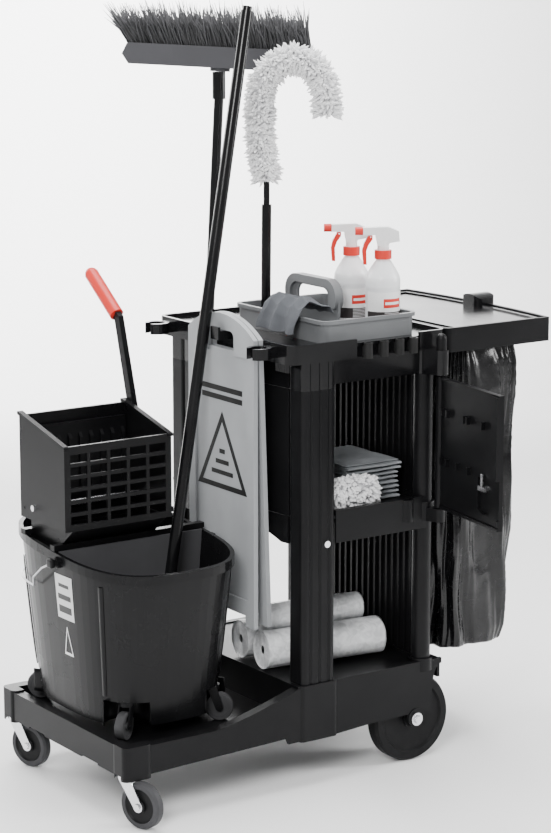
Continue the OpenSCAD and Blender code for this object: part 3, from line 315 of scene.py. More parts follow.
def moulded(name, color, roughness=0.38, grain=0.00012, coat=0.0, specular=0.13, scuffs=0.5):
    """Moulded plastic: fine spark grain, cloudy gloss and faint scuffs."""
    f = Finish(name, color, roughness, coat=coat, specular=specular)
    cloud, fine = f.noise(9, 5), f.noise(1500, 2)
    scuff = f.noise(60, 6, 0.6, f.stretched(1, 1, 0.18)).ramp(0.62, 0.8) * scuffs
    lighter = tuple(min(1, c * 1.25 + 0.003) for c in color)
    f.feed("Base Color", f.blend((cloud.ramp(0.35, 0.75) * 0.5 + scuff * 0.5).clamp(), color, lighter))
    f.feed("Roughness", (cloud * 0.16 + scuff * 0.12 + (roughness - 0.08)).clamp())
    f.feed("Normal", f.bump(fine + cloud * 0.4, grain, 0.6))
    return f.material


def plated(name, color, roughness=0.24):
    """Bright zinc: cloudy plating with fine drawn lines."""
    f = Finish(name, color, roughness, metallic=1.0, specular=0.5)
    cloud, lines = f.noise(60, 4), f.noise(900, 3, 0, f.stretched(1, 1, 0.05))
    f.feed("Base Color", f.blend(cloud, tuple(c * 0.82 for c in color), color))
    f.feed("Roughness", cloud * 0.14 + lines * 0.1 + (roughness - 0.1))
    f.feed("Normal", f.bump(lines, 0.00008, 0.5))
    return f.material


def tyre(name, color, roughness=0.6):
    """Rubber: matt, with dust and fine pits."""
    f = Finish(name, color, roughness, specular=0.12)
    dust, pits = f.noise(45, 6), f.noise(1100, 3)
    f.feed("Base Color", f.blend(dust.ramp(0.4, 0.8) * 0.6, color, tuple(c * 1.3 + 0.006 for c in color)))
    f.feed("Roughness", dust * 0.2 + (roughness - 0.1))
    f.feed("Normal", f.bump(pits, 0.0002, 0.5))
    return f.material


def vinyl(name, color):
    """Thin coated cloth: glossy, with crinkles and a faint weave under the coating."""
    f = Finish(name, color, 0.22, specular=0.3, coat=0.1)
    warp = f.node("ShaderNodeVectorMath", {"operation": "MULTIPLY_ADD"},
                  [f.noise(7, 3, out=1), (0.12, 0.12, 0.2), f.place()])
    crease = f.cells(9, "DISTANCE_TO_EDGE", warp).ramp(0.0, 0.3)
    small = f.noise(55, 5, 1.4)
    weave = (f.uv("X") * 1600).sin() * (f.uv("Y") * 1600).sin()
    f.feed("Base Color", f.blend(small.ramp(0.45, 0.85), color, tuple(c * 1.7 + 0.004 for c in color)))
    f.feed("Roughness", small * 0.22 + 0.14)
    f.feed("Normal", f.bump(weave, 0.00006, 0.3, f.bump(crease * 0.8 + small * 0.25, 0.0022, 0.5)))
    return f.material


def microfibre(name, color, pitch=0.0024):
    """Split-fibre cloth: small woven cells from its own UV in metres, lint and a soft nap."""
    f = Finish(name, color, 0.92, specular=0.15)
    cell = (f.uv("X") * (TAU / pitch)).sin() * (f.uv("Y") * (TAU / pitch)).sin() * 0.5 + 0.5
    lint, shade = f.noise(700, 4), f.noise(22, 5)
    dark, light = tuple(c * 0.62 for c in color), tuple(min(1, c * 1.35 + 0.02) for c in color)
    f.feed("Base Color", f.blend((cell * 0.35 + lint * 0.35 + shade * 0.35).clamp(), dark, light))
    f.feed("Roughness", lint * 0.12 + 0.84)
    f.feed("Normal", f.bump(cell * 0.6 + lint * 0.7, 0.0007, 0.8))
    return f.material


def fluff(name, color, shadow):
    """Fluffy yarn: bright tips and shaded roots, with fibre noise."""
    f = Finish(name, color, 0.95, specular=0.1)
    fibre = f.noise(1600, 3)
    f.feed("Base Color", f.blend((f.uv("Y") * 0.7 + fibre * 0.45).clamp(), shadow, color))
    f.feed("Roughness", fibre * 0.08 + 0.9)
    f.feed("Normal", f.bump(fibre, 0.0006, 0.7))
    return f.material


def strands(name, color, light):
    """Stiff plastic bristle: colour varies from strand to strand and lightens at the tip."""
    f = Finish(name, color, 0.5, specular=0.3)
    each, tip = f.uv("X"), f.uv("Y")
    f.feed("Base Color", f.blend((each * 0.6 + tip * 0.4).clamp(), color, light))
    f.feed("Roughness", each * 0.2 + 0.4)
    return f.material


def screen_print(name, base, ink, mask):
    """A plain print on moulded plastic; mask(finish) gives 1 where there is ink."""
    f = Finish(name, base, 0.42, specular=0.3)
    fine = f.noise(1300, 2)
    f.feed("Base Color", f.blend(mask(f), base, ink))
    f.feed("Roughness", fine * 0.1 + 0.36)
    f.feed("Normal", f.bump(fine, 0.0001, 0.5))
    return f.material


def sprayer_plastic(name, white, red, split, way):
    """White sprayer head with a coloured collar below and a coloured nozzle ahead of its post."""
    f = Finish(name, white, 0.34, specular=0.35)
    x, y, z = (f.along(k) for k in "XYZ")
    ahead = x * way[0] + y * way[1]
    collar, nozzle_a, nozzle_b, between = split
    red_zone = ((z < collar) + (ahead > nozzle_a) * (y > between) + (ahead > nozzle_b) * (y < between)).clamp()
    cloud = f.noise(40, 4)
    f.feed("Base Color", f.blend(red_zone, f.blend(cloud, white, tuple(c * 0.9 for c in white)), red))
    f.feed("Roughness", cloud * 0.15 + 0.28)
    f.feed("Normal", f.bump(f.noise(900, 2), 0.0001, 0.4))
    return f.material


def bottle_wall(name, color):
    """Cloudy white bottle: slightly darker where liquid stands, with blow-moulded ripples."""
    f = Finish(name, color, 0.3, specular=0.4, coat=0.2)
    f.shader.inputs["Subsurface Weight"].default_value = 0.25
    f.shader.inputs["Subsurface Radius"].default_value = (0.02, 0.02, 0.02)
    cloud, ripple = f.noise(18, 3), f.noise(120, 3)
    level = f.along("Z").ramp(1.085, 1.09)
    shade = f.blend((level * 0.7 + cloud * 0.3).clamp(), tuple(c * 0.86 for c in color), color)
    f.feed("Base Color", shade)
    f.feed("Roughness", ripple * 0.12 + 0.24)
    f.feed("Normal", f.bump(ripple, 0.0006, 0.4))
    return f.material


# ---- Sizes and colours that can be changed --------------------------------------------------------

def length_prop(name, text, default, low, high):
    return bpy.props.FloatProperty(name=name, description=text, default=default, min=low, max=high,
                                   subtype="DISTANCE", unit="LENGTH")


def color_prop(name, text, default):
    return bpy.props.FloatVectorProperty(name=name, description=text, default=default, size=3, min=0, max=1,
                                         subtype="COLOR")


class CartColors(bpy.types.PropertyGroup):
    """Colours of the cart and its kit."""
    plastic: color_prop("Plastic", "Colour of the black moulded parts", (0.0045, 0.0045, 0.005))
    tray: color_prop("Tray", "Colour of the glossy tray and lid", (0.004, 0.004, 0.0045))
    bag: color_prop("Bag", "Colour of the vinyl waste bag", (0.0035, 0.0035, 0.004))
    sign: color_prop("Sign", "Colour of the floor sign", (0.31, 0.32, 0.33))
    caddy: color_prop("Caddy", "Colour of the carry caddy", (0.13, 0.135, 0.14))
    cloth: color_prop("Cloth", "Colour of the folded cloths", (0.27, 0.285, 0.3))
    rag: color_prop("Rag", "Colour of the cloth laid over the caddy", (0.085, 0.09, 0.1))
    yarn: color_prop("Yarn", "Colour of the white microfibre", (0.9, 0.9, 0.9))
    red: color_prop("Red", "Colour of the grips, collars and triggers", (0.62, 0.03, 0.02))
    floor: color_prop("Floor", "Colour of the studio floor", (0.93, 0.93, 0.93))


class CartSizes(bpy.types.PropertyGroup):
    """Sizes of the soft goods."""
    pleat: length_prop("Bag pleat", "Depth of the pleats where the bag is gathered", 0.008, 0.001, 0.02)
    bag_skin: length_prop("Bag skin", "Thickness of the bag's vinyl", 0.0012, 0.0005, 0.004)
    cloth_skin: length_prop("Cloth thickness", "Thickness of one layer of a folded cloth", 0.0022, 0.001, 0.005)
    yarn_length: length_prop("Yarn length", "Length of the duster's yarns", 0.0225, 0.01, 0.03)
    yarn_radius: length_prop("Yarn radius", "Radius of one chenille yarn", 0.0032, 0.001, 0.006)
    bristle_radius: length_prop("Bristle radius", "Radius of one broom tuft at its root", 0.0022, 0.001, 0.004)
    cloths: bpy.props.IntProperty(name="Cloths", description="How many cloths lie on the shelf",
                                  default=8, min=1, max=12)


def colors(): return bpy.context.scene.cart_colors
def sizes(): return bpy.context.scene.cart_sizes


def middle(node):
    """Lowest corner, highest corner and centre of a CAD node, as arrays."""
    low, high = (np.array(c, dtype=float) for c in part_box(node))
    return low, high, (low + high) / 2


# ---- Pieces -------------------------------------------------------------------------------------------

class CART_OT_frame_finishes(bpy.types.Operator):
    """Gives every moulded and metal part of the frame its finish."""
    bl_idname = "cart.frame_finishes"
    bl_label = "Frame finishes"

    def execute(self, context):
        c = colors()
        black, tray = tuple(c.plastic), tuple(c.tray)
        body = moulded("cart_plastic", black, 0.34)
        gloss = moulded("tray_gloss", tray, 0.2, 0.00004, coat=0.15, specular=0.25, scuffs=0.25)
        pail = moulded("pail_plastic", tuple(k * 0.9 for k in black), 0.26, 0.00007, specular=0.16)
        pole = moulded("pole_coating", tray, 0.2, 0.00003, coat=0.1, specular=0.25, scuffs=0.2)
        squeeze = moulded("wringer_plastic", tuple(k * 0.9 for k in black), 0.3)
        zinc = plated("zinc", (0.78, 0.78, 0.8))
        caddy = moulded("caddy_plastic", tuple(c.caddy), 0.42, specular=0.3)
        sign = moulded("sign_board", tuple(c.sign), 0.45, 0.0001)
        grey_tyre = tyre("caster_tread", (0.05, 0.05, 0.053), 0.5)
        black_rubber = tyre("wheel_rubber", (0.006, 0.006, 0.0065), 0.5)
        red_grip = moulded("red_grip", tuple(c.red), 0.36, 0.0002, specular=0.4, scuffs=0.2)
        table = {
            body: ("deck front_post_near front_post_far rear_post_near rear_post_far front_panel divider_panel "
                   "middle_shelf bag_hood door hinge_pins").split(),
            gloss: "top_tray bag_lid".split(),
            pail: ["bucket"],
            moulded("divider_grey", (0.07, 0.07, 0.074), 0.4): ["bucket_divider"],
            squeeze: "wringer_basket press_plate wringer_lever".split(),
            moulded("hub_plastic", (0.008, 0.008, 0.0085), 0.42): "caster_wheel_near caster_wheel_far".split(),
            moulded("fork_plastic", black, 0.4): [f"bucket_fork_{i}" for i in (1, 2, 3, 4)],
            tyre("grip_rubber", (0.014, 0.014, 0.014), 0.45): ["tool_grips"],
            tyre("pail_wheel", (0.05, 0.05, 0.052), 0.5): [f"bucket_wheel_{i}" for i in (1, 2, 3, 4)],
            zinc: "door_latch rear_axle caster_fork_near caster_fork_far wringer_shaft".split(),
            plated("screw_steel", (0.85, 0.85, 0.87), 0.16): ["screws"],
            plated("bail_wire", (0.62, 0.62, 0.64), 0.3): ["bail"],
            grey_tyre: "caster_tyre_near caster_tyre_far".split(),
            black_rubber: "rear_wheel_near rear_wheel_far".split(),
            red_grip: ["lever_grip"],
            moulded("trigger_red", tuple(c.red), 0.3, 0.00006, coat=0.3, scuffs=0.1): ["trigger_a", "trigger_b"],
            pole: "mop_handle broom_handle duster_handle".split(),
            moulded("broom_block_plastic", (0.055, 0.055, 0.06), 0.45): ["broom_block"],
            sign: "sign_front sign_back".split(),
            caddy: ["caddy"],
        }
        for finish, nodes in table.items():
            for node in nodes:
                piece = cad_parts[node]
                for holder in piece.material_slots:
                    holder.material = finish
        # Heads of the two sprayers: collars up to 1.1676 m, nozzles from 45 mm ahead of each bottle's axis
        way = (math.cos(BOTTLE_TURN), math.sin(BOTTLE_TURN))
        ahead = [x * way[0] + y * way[1] for x, y in BOTTLES]
        heads = sprayer_plastic("sprayer_plastic", (0.86, 0.86, 0.86), tuple(c.red),
                                (1.1666, ahead[0] + 0.0452, ahead[1] + 0.0452, -0.125), way)
        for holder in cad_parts["sprayer_heads"].material_slots:
            holder.material = heads
        return {"FINISHED"}


class CART_OT_waste_bag(bpy.types.Operator):
    """Vinyl bag hung from the hood: a gathered, creased shell with a slumped bottom."""
    bl_idname = "cart.waste_bag"
    bl_label = "Waste bag"

    def execute(self, context):
        """Squared oval x = a |cos|^(2/n), y = b |sin|^(2/n): pleated at the top, creased below, closed at the foot."""
        low, high, mid = middle("waste_bag")
        rows, cols = 150, 330
        s = np.linspace(0, 1, rows)[:, None]
        a = np.linspace(0, TAU, cols, endpoint=False)[None, :]
        n = 5.2 - 2.0 * s
        half = (high - low) / 2
        x = np.sign(np.cos(a)) * np.abs(np.cos(a)) ** (2 / n)
        y = np.sign(np.sin(a)) * np.abs(np.sin(a)) ** (2 / n)
        drop = np.minimum(s / 0.93, 1)
        close = np.sqrt(np.clip(1 - np.clip((s - 0.925) / 0.075, 0, 1) ** 2, 0, 1))
        ring = a + 0.05 * np.sin(3 * a + 9 * s) + 0.02 * np.sin(7 * a - 21 * s)
        gather = np.abs(np.sin(31 * ring + 1.2 * np.sin(4 * a))) ** 0.7
        pleats = sizes().pleat * gather * (0.25 + 0.75 * np.exp(-6 * s))
        creases = (0.011 * np.abs(np.sin(4.5 * ring + 2.4 * s + 0.8)) ** 1.6
                   + 0.009 * np.abs(np.sin(9 * ring - 5.5 * s)) ** 2
                   + 0.006 * (0.5 + 0.5 * waves(np.sin(a), 2.2 * s, 5, 8, 0.8, 3.6)))
        swell = 0.006 * np.exp(-((s - 0.62) / 0.3) ** 2)
        belt = 0.007 * np.exp(-((s - 0.05) / 0.035) ** 2)
        inward = pleats + creases * (0.25 + 0.75 * np.minimum(1, s * 2.6)) - swell + belt
        tuck = 0.92 + 0.08 * np.minimum(1, (1 - s) * 9)
        px = mid[0] + x * (half[0] - np.clip(inward, 0, 0.05)) * tuck * close
        py = mid[1] + y * (half[1] - np.clip(inward, 0, 0.05)) * tuck * close
        sag = 0.010 * np.sin(2 * a + 0.6) * s
        fall = drop * 0.985 + 0.015 * (1 - close)
        pz = high[2] - 0.002 - (high[2] - low[2] - 0.008) * fall - sag * (1 - s) * 4
        pz = np.clip(pz, low[2] + 0.002, high[2])
        turn = half[0] * 2 + half[1] * 2
        uv = packed(a / TAU * turn, s * (high[2] - low[2]))
        bag = surface("bag_shell", packed(px, py, pz)[::-1], wrap_v=True, uv=uv[::-1])
        thicken(bag, sizes().bag_skin)
        settle(bag, "cart", "bag_vinyl", vinyl("bag_vinyl", tuple(colors().bag)), "waste_bag")
        return {"FINISHED"}


class CART_OT_cloths(bpy.types.Operator):
    """Stack of folded cloths on the shelf, and the cloth laid over the caddy's wall."""
    bl_idname = "cart.cloths"
    bl_label = "Cloths"

    def execute(self, context):
        c, skin = colors(), sizes().cloth_skin
        low, high, _ = middle("cloth_stack")
        rng = np.random.default_rng(11)
        count = sizes().cloths
        pitch = (high[2] - low[2]) / count
        grey = microfibre("folded_cloth", tuple(c.cloth))
        for k in range(count):
            base = low[2] + pitch * k + 0.5 * skin + 0.0006
            cloth = self.folded(f"folded_cloth_{k + 1}", low, high, base, pitch - skin - 0.0008, rng, k)
            thicken(cloth, skin, 1)
            settle(cloth, "cart", "grey_cloth", grey, *([] if k else ["cloth_stack"]))
        self.draped(c)
        return {"FINISHED"}

    def folded(self, name, low, high, base, rise, rng, k):
        """Zigzag of three layers with round bends, carried across the stack, then turned and rippled a little."""
        inset = rng.uniform(0.002, 0.012, 4)
        y0, y1 = low[1] + 0.002 + inset[0], high[1] - 0.004 - inset[1]
        gap = rise / 2
        bend = np.linspace(-math.pi / 2, math.pi / 2, 9)
        front = packed(y0 + gap / 2 - np.cos(bend) * gap / 2 * 1.6, base + gap / 2 + np.sin(bend) * gap / 2)
        back = packed(y1 - gap / 2 + np.cos(bend) * gap / 2, base + 1.5 * gap + np.sin(bend) * gap / 2)
        ends = [[y1 - 0.004, base]], [[y0 + 0.006 + inset[2], base + rise]]
        run = resampled(np.concatenate([ends[0], front, back, ends[1]]), 110)
        x0, x1 = low[0] + 0.002 + inset[3], high[0] - 0.003 - inset[2]
        x = np.linspace(x0, x1, 34)[None, :]
        y, z = run[:, :1], run[:, 1:]
        share = np.linspace(0, 1, len(run))[:, None]
        edge = 0.0022 * waves(share * 2, x * 9, 40 + k, 5, 0.8, 3)
        turn = rng.uniform(-0.03, 0.03)
        px = x + (y - y.mean()) * turn + edge * np.sign(x - x.mean()) * 1.2
        py = y - (x - x.mean()) * turn + edge * 0.8
        ripple = 0.0008 * waves((x - x0) * 14, (y - y0) * 14, 70 + k, 6, 0.5, 2.2)
        points = packed(px, py, z + ripple * (1 if k else 0.4))
        points[..., 0] = np.clip(points[..., 0], low[0] - 0.004, high[0] + 0.004)
        uv = packed(share * 0.62, x)
        return surface(name, points, uv=uv)

    def draped(self, c):
        """Cloth carried over the caddy's rim: a hanging end, a round top and a rumpled end inside, with folds."""
        low, high, _ = middle("draped_cloth")
        (x0, _, z0), (x1, _, z1) = low, high
        over = [[x0 - 0.006, z0 + 0.006], [x0 - 0.003, z0 + 0.02], [x0 + 0.003, z1 - 0.042], [x0 + 0.014, z1 - 0.02],
                [x0 + 0.034, z1 - 0.006], [x0 + 0.06, z1 - 0.012], [x1 - 0.008, z1 - 0.022], [x1 - 0.002, z1 - 0.036]]
        line = resampled(over, 90)
        v = np.linspace(0, 1, 120)[None, :]
        s = np.linspace(0, 1, len(line))[:, None]
        folds = 1 - np.abs(np.sin(TAU * (1.55 * v + 0.22 * s + 0.05)))
        lift = 0.010 * folds * np.sin(math.pi * np.clip(s * 0.9 + 0.1, 0, 1))
        rumple = 0.005 * waves(2.4 * s, 3.0 * v, 21, 8, 0.6, 2.6)
        x = line[:, :1] - 0.012 * (1 - s) * (0.5 + 0.5 * np.sin(TAU * 2.2 * v)) + 0.4 * rumple
        z = line[:, 1:] + lift - 0.004 + rumple * np.clip(s * 3, 0, 1)
        y = low[1] + 0.003 + (high[1] - low[1] - 0.006) * v
        y = y + 0.006 * waves(1.4 * s, 0.3 * v, 9, 5, 0.6, 2) + 0.01 * (1 - s) * (0.5 - v)
        uv = packed(s * 0.2, v * 0.15)
        rag = surface("caddy_rag", packed(x, y, z), uv=uv)
        thicken(rag, 0.0022, 1)
        settle(rag, "carry_caddy", "grey_cloth", microfibre("rag_cloth", tuple(c.rag)), "draped_cloth")


class CART_OT_white_pad(bpy.types.Operator):
    """Chenille pad folded on the shelf in front of the cloths."""
    bl_idname = "cart.white_pad"
    bl_label = "Chenille pad"

    def execute(self, context):
        """Rounded block |x|^n + |y|^n + |z|^n = 1 as the backing, with stubby yarns that point outwards."""
        low, high, mid = middle("chenille_pad")
        rng = np.random.default_rng(5)
        half = (high - low) / 2 - 0.010
        ways = unit(rng.normal(size=(620, 3)))
        power = (np.abs(ways) ** 4).sum(axis=1, keepdims=True) ** 0.25
        roots = mid + ways / power * half
        roots[:, 2] -= 0.002
        out = unit(ways / power * [1, 1.6, 1] + rng.normal(size=ways.shape) * 0.22)
        roots[:, 2] = np.clip(roots[:, 2], low[2] + 0.008, None)
        yarn = noodles("pad_yarns", roots, out, 0.015, 0.0042, 0.3, 8, 7, 5)
        kept_above(yarn, low[2] + 0.0005)
        white = fluff("white_chenille", tuple(colors().yarn), (0.5, 0.5, 0.52))
        settle(yarn, "cart", "white_microfibre", white, "chenille_pad")
        u = np.linspace(0, math.pi, 24)[:, None]
        a = np.linspace(0, TAU, 40, endpoint=False)[None, :]
        ball = packed(np.sin(u) * np.cos(a), np.sin(u) * np.sin(a), np.cos(u))
        ball = ball / ((np.abs(ball) ** 4).sum(axis=-1, keepdims=True) ** 0.25)
        # The backing's UV height of 0.3 puts it partway into the painted root shade of the yarn finish.
        core = surface("pad_backing", mid + ball * half * 0.98, wrap_v=True, uv=packed(a / TAU + 0 * u, 0.3))
        settle(core, "cart", "white_microfibre", white)
        return {"FINISHED"}


class CART_OT_duster(bpy.types.Operator):
    """Fluffy microfibre sleeve on the bent duster."""
    bl_idname = "cart.duster"
    bl_label = "Duster sleeve"

    def execute(self, context):
        """Yarns round a hooked line: a rise, half an oval (60 + 76 cos t, 1480 + 99 sin t) and a short end."""
        t = np.linspace(math.pi, 0, 25)
        local = np.concatenate([[[0, 1306], [-6, 1350], [-14, 1400], [-16, 1440]],
                                packed(60 + 76 * np.cos(t), 1480 + 99 * np.sin(t)), [[136, 1452]]]) / 1000
        line = resampled(local, 140)
        path = packed(DUSTER_AT[0] + line[:, 0] * math.cos(DUSTER_TURN),
                      DUSTER_AT[1] + line[:, 0] * math.sin(DUSTER_TURN), line[:, 1])
        radius = 0.019 * np.interp(np.linspace(0, 1, 140), [0, 0.03, 0.97, 1], [0.55, 1, 1, 0.5])
        # The core is made without a UV map, so the yarn finish reads a UV height of zero and paints it mostly in its
        # shaded root colour.
        core = surface("duster_core", facing_out(tube(path, radius, 20)), wrap_v=True)
        one, two = side_frames(path)
        rng = np.random.default_rng(3)
        n = 2900
        where = rng.uniform(0, 1, n) * (len(path) - 1)
        k = where.astype(int)
        f = (where - k)[:, None]
        k2 = np.minimum(k + 1, len(path) - 1)
        mid = path[k] * (1 - f) + path[k2] * f
        a = rng.uniform(0, TAU, n)[:, None]
        out = np.cos(a) * one[k] + np.sin(a) * two[k]
        run = unit(path[k2] - path[np.maximum(k - 1, 0)])
        ways = unit(out + run * rng.uniform(-0.5, 0.5, (n, 1)) + rng.normal(size=(n, 3)) * 0.18)
        size = sizes()
        yarns = noodles("duster_yarns", mid + out * 0.014, ways, size.yarn_length, size.yarn_radius, 0.12, 4, 6, 4)
        white = fluff("duster_microfibre", tuple(colors().yarn), (0.7, 0.7, 0.72))
        settle(yarns, "duster", "white_microfibre", white, "duster_sleeve")
        settle(core, "duster", "white_microfibre", white)
        return {"FINISHED"}


class CART_OT_mop_head(bpy.types.Operator):
    """Yarn head of the mop, standing in the pail."""
    bl_idname = "cart.mop_head"
    bl_label = "Mop head"

    def execute(self, context):
        """Long yarns that start round the handle's foot and fall outwards to the pail's floor."""
        low, high, mid = middle("mop_head")
        rng = np.random.default_rng(2)
        n = 260
        a = rng.uniform(0, TAU, n)
        r = rng.uniform(0.014, 0.034, n)
        roots = packed(mid[0] + r * np.cos(a), mid[1] + r * np.sin(a), high[2] - rng.uniform(0.004, 0.05, n))
        ways = unit(packed(np.cos(a) * 0.35, np.sin(a) * 0.35, -rng.uniform(0.3, 0.8, n)))
        yarn = noodles("mop_yarns", roots, ways, 0.055, 0.0032, 0.35, 6, 6, 7)
        kept_above(yarn, low[2] + 0.001)
        settle(yarn, "mop", "mop_yarn", fluff("mop_cotton", (0.7, 0.69, 0.64), (0.38, 0.37, 0.34)), "mop_head")
        return {"FINISHED"}


class CART_OT_bristles(bpy.types.Operator):
    """Flagged bristles of the push broom, fanned at its ends."""
    bl_idname = "cart.bristles"
    bl_label = "Broom bristles"

    def execute(self, context):
        """Rows of thin tufts on the block; each leans by its place along the head, so that the ends fan out."""
        head = np.array(BROOM_NECK) + [0.054 * BROOM_LEAN, 0, BLOCK_TOP]
        tilt, turn = math.atan(BROOM_LEAN), BROOM_TURN
        spin = np.array([[math.cos(turn), -math.sin(turn), 0], [math.sin(turn), math.cos(turn), 0], [0, 0, 1]])
        tip = np.array([[math.cos(tilt), 0, math.sin(tilt)], [0, 1, 0], [-math.sin(tilt), 0, math.cos(tilt)]])
        place = tip @ spin
        rng = np.random.default_rng(9)
        u, v = np.meshgrid(np.linspace(0.004, 0.996, 104), np.linspace(-1, 1, 15), indexing="ij")
        u, v = u.ravel() + rng.normal(0, 0.003, u.size), v.ravel() + rng.normal(0, 0.04, v.size)
        roots = packed(-0.213 + 0.422 * np.clip(u, 0, 1), 0.025 * np.clip(v, -1, 1), BLOCK_TOP)
        spread = np.interp(u, [0, 0.06, 0.35, 0.8, 1], [-0.62, -0.52, -0.30, -0.26, -0.34])
        ways = unit(packed(spread + rng.normal(0, 0.05, u.size), 0.06 * v + rng.normal(0, 0.04, u.size), 1.0))
        ways, roots = ways @ place.T, head + roots @ place.T
        reach = 0.073 * rng.uniform(0.97, 1.05, u.size) + 0.004 * np.sin(u * 40)
        tufts = noodles("broom_tufts", roots, ways, reach / 0.95, sizes().bristle_radius, 0.0, 12, 5, 2)
        dark = strands("broom_bristle", (0.012, 0.012, 0.012), (0.075, 0.075, 0.08))
        settle(tufts, "broom", "bristle", dark, "broom_bristles")
        return {"FINISHED"}


class CART_OT_liner_rolls(bpy.types.Operator):
    """Rolls of plastic bin liners on the platform."""
    bl_idname = "cart.liner_rolls"
    bl_label = "Liner rolls"

    def execute(self, context):
        """Each roll: ends stepped like wound film and a rumpled side, carried round the roll's axis."""
        low = middle("liner_rolls")[0][2]
        z, top = 0.2343 + 0.044, 0.2343 + 0.044 + 0.058
        film = self.film()
        for k, (a, b, r) in enumerate((((0.030, -0.108, z), (0.326, -0.150, z), 0.0435),
                                       ((0.040, -0.006, z), (0.322, -0.046, z), 0.0435),
                                       ((0.060, -0.060, top), (0.310, -0.096, top), 0.0325))):
            roll = self.roll(f"liner_roll_{k + 1}", np.array(a), np.array(b), r, k, low)
            settle(roll, "cart", "liner_film", film, *([] if k else ["liner_rolls"]))
        return {"FINISHED"}

    def roll(self, name, a, b, radius, seed, floor):
        """One roll between the end points a and b, kept above the floor it lies on."""
        axis = unit(b - a)
        length = float(np.linalg.norm(b - a))
        one = unit(np.cross(axis, [0, 0, 1]))
        two = np.cross(axis, one)
        end = np.linspace(0.22, 0.97, 26)
        step = 0.0022 * (np.arange(26) % 3 == 0)
        profile = np.concatenate([packed(end * radius, 0.004 + step),
                                  packed(radius, np.linspace(0.001, length - 0.001, 70)),
                                  packed(end[::-1] * radius, length - 0.004 - step)])
        t = np.linspace(0, TAU, 96, endpoint=False)[None, :]
        r, s = profile[:, :1], profile[:, 1:]
        ripple = waves(np.cos(t) * 1.4, s * 7 + np.sin(t) * 1.4, seed + 3, 9, 0.5, 3.2)
        r = r * (1 - 0.05 * (0.5 + 0.5 * ripple) * (r / radius) ** 4 - 0.018 * (t > 5.9) * (r / radius) ** 6)
        spoke = np.cos(t)[..., None] * one + np.sin(t)[..., None] * two
        points = a + s[..., None] * axis + r[..., None] * spoke
        points[..., 2] = np.maximum(points[..., 2], floor + 0.0004)
        uv = packed(t / TAU, s / length)
        return surface(name, facing_out(points), wrap_v=True, uv=uv)

    def film(self):
        """Crumpled, cloudy plastic film."""
        f = Finish("liner_film", (0.62, 0.63, 0.64), 0.32, specular=0.45, coat=0.15)
        crumple, wind = f.noise(48, 6, 1.2), f.noise(20, 4)
        f.feed("Base Color", f.blend(crumple.ramp(0.3, 0.75), (0.6, 0.61, 0.62), (0.86, 0.87, 0.88)))
        f.feed("Roughness", wind * 0.25 + 0.2)
        f.feed("Normal", f.bump(crumple, 0.003, 0.5))
        return f.material


class CART_OT_bottles(bpy.types.Operator):
    """Two spray bottles with plain generic labels."""
    bl_idname = "cart.bottles"
    bl_label = "Spray bottles"

    def execute(self, context):
        """Bottle profile turned round its axis; the label is a strip of a cylinder 0.4 mm outside its waist."""
        low = middle("spray_bottles")[0][2]
        r = 0.039
        foot = [(0.002, 0.0045), (0.022, 0.004), (0.0285, 0.0008), (r - 0.0035, 0.0),
                (r - 0.0012, 0.0015), (r, 0.005)]
        waist = [(r, 0.012), (r - 0.0006, 0.014), (r - 0.0006, 0.094), (r, 0.0965),
                 (r, 0.113), (r - 0.0012, 0.121)]
        neck = [(r - 0.005, 0.1295), (0.0285, 0.139), (0.0225, 0.149), (0.0178, 0.156),
                (0.0150, 0.160), (0.0148, 0.172), (0.012, 0.172)]
        profile = resampled(foot + waist + neck, 90)
        white = bottle_wall("bottle_wall", (0.84, 0.85, 0.86))
        wrap = self.label()
        for k, (x, y) in enumerate(BOTTLES):
            bottle = surface(f"bottle_{k + 1}", turned(profile, (x, y, low))[:, ::-1], wrap_v=True)
            settle(bottle, "carry_caddy", "bottle_plastic", white, *([] if k else ["spray_bottles"]))
            a = np.linspace(math.radians(-185), math.radians(-5), 60)[None, :]
            h = np.linspace(0.018, 0.090, 20)[:, None]
            side = packed(x + (r - 0.0002) * np.cos(a), y + (r - 0.0002) * np.sin(a),
                             low + h)
            label = surface(f"bottle_label_{k + 1}", side, uv=unit_uv(a, h))
            settle(label, "carry_caddy", "bottle_plastic", wrap)
        return {"FINISHED"}

    def label(self):
        """Paper label: a plain badge over a dark band of light lines."""
        f = Finish("bottle_label", (0.85, 0.85, 0.85), 0.4, specular=0.35)
        u, v = f.uv("X"), f.uv("Y")
        badge = (u > 0.34) * (u < 0.72) * (v > 0.52) * (v < 0.80)
        inner = (u > 0.37) * (u < 0.69) * (v > 0.62) * (v < 0.70)
        band = (v < 0.40) * (v > 0.08)
        lines = ((v * 22).fract() > 0.55) * (u > 0.36) * (u < 0.70) * band
        paper = f.blend(f.noise(300, 3), (0.8, 0.8, 0.8), (0.9, 0.9, 0.9))
        with_band = f.blend(band, paper, (0.035, 0.03, 0.03))
        with_lines = f.blend(lines * 0.75, with_band, (0.7, 0.7, 0.7))
        with_badge = f.blend(badge, with_lines, tuple(colors().red))
        f.feed("Base Color", f.blend(inner, with_badge, (0.85, 0.85, 0.85)))
        f.feed("Roughness", f.noise(200, 3) * 0.15 + 0.32)
        return f.material


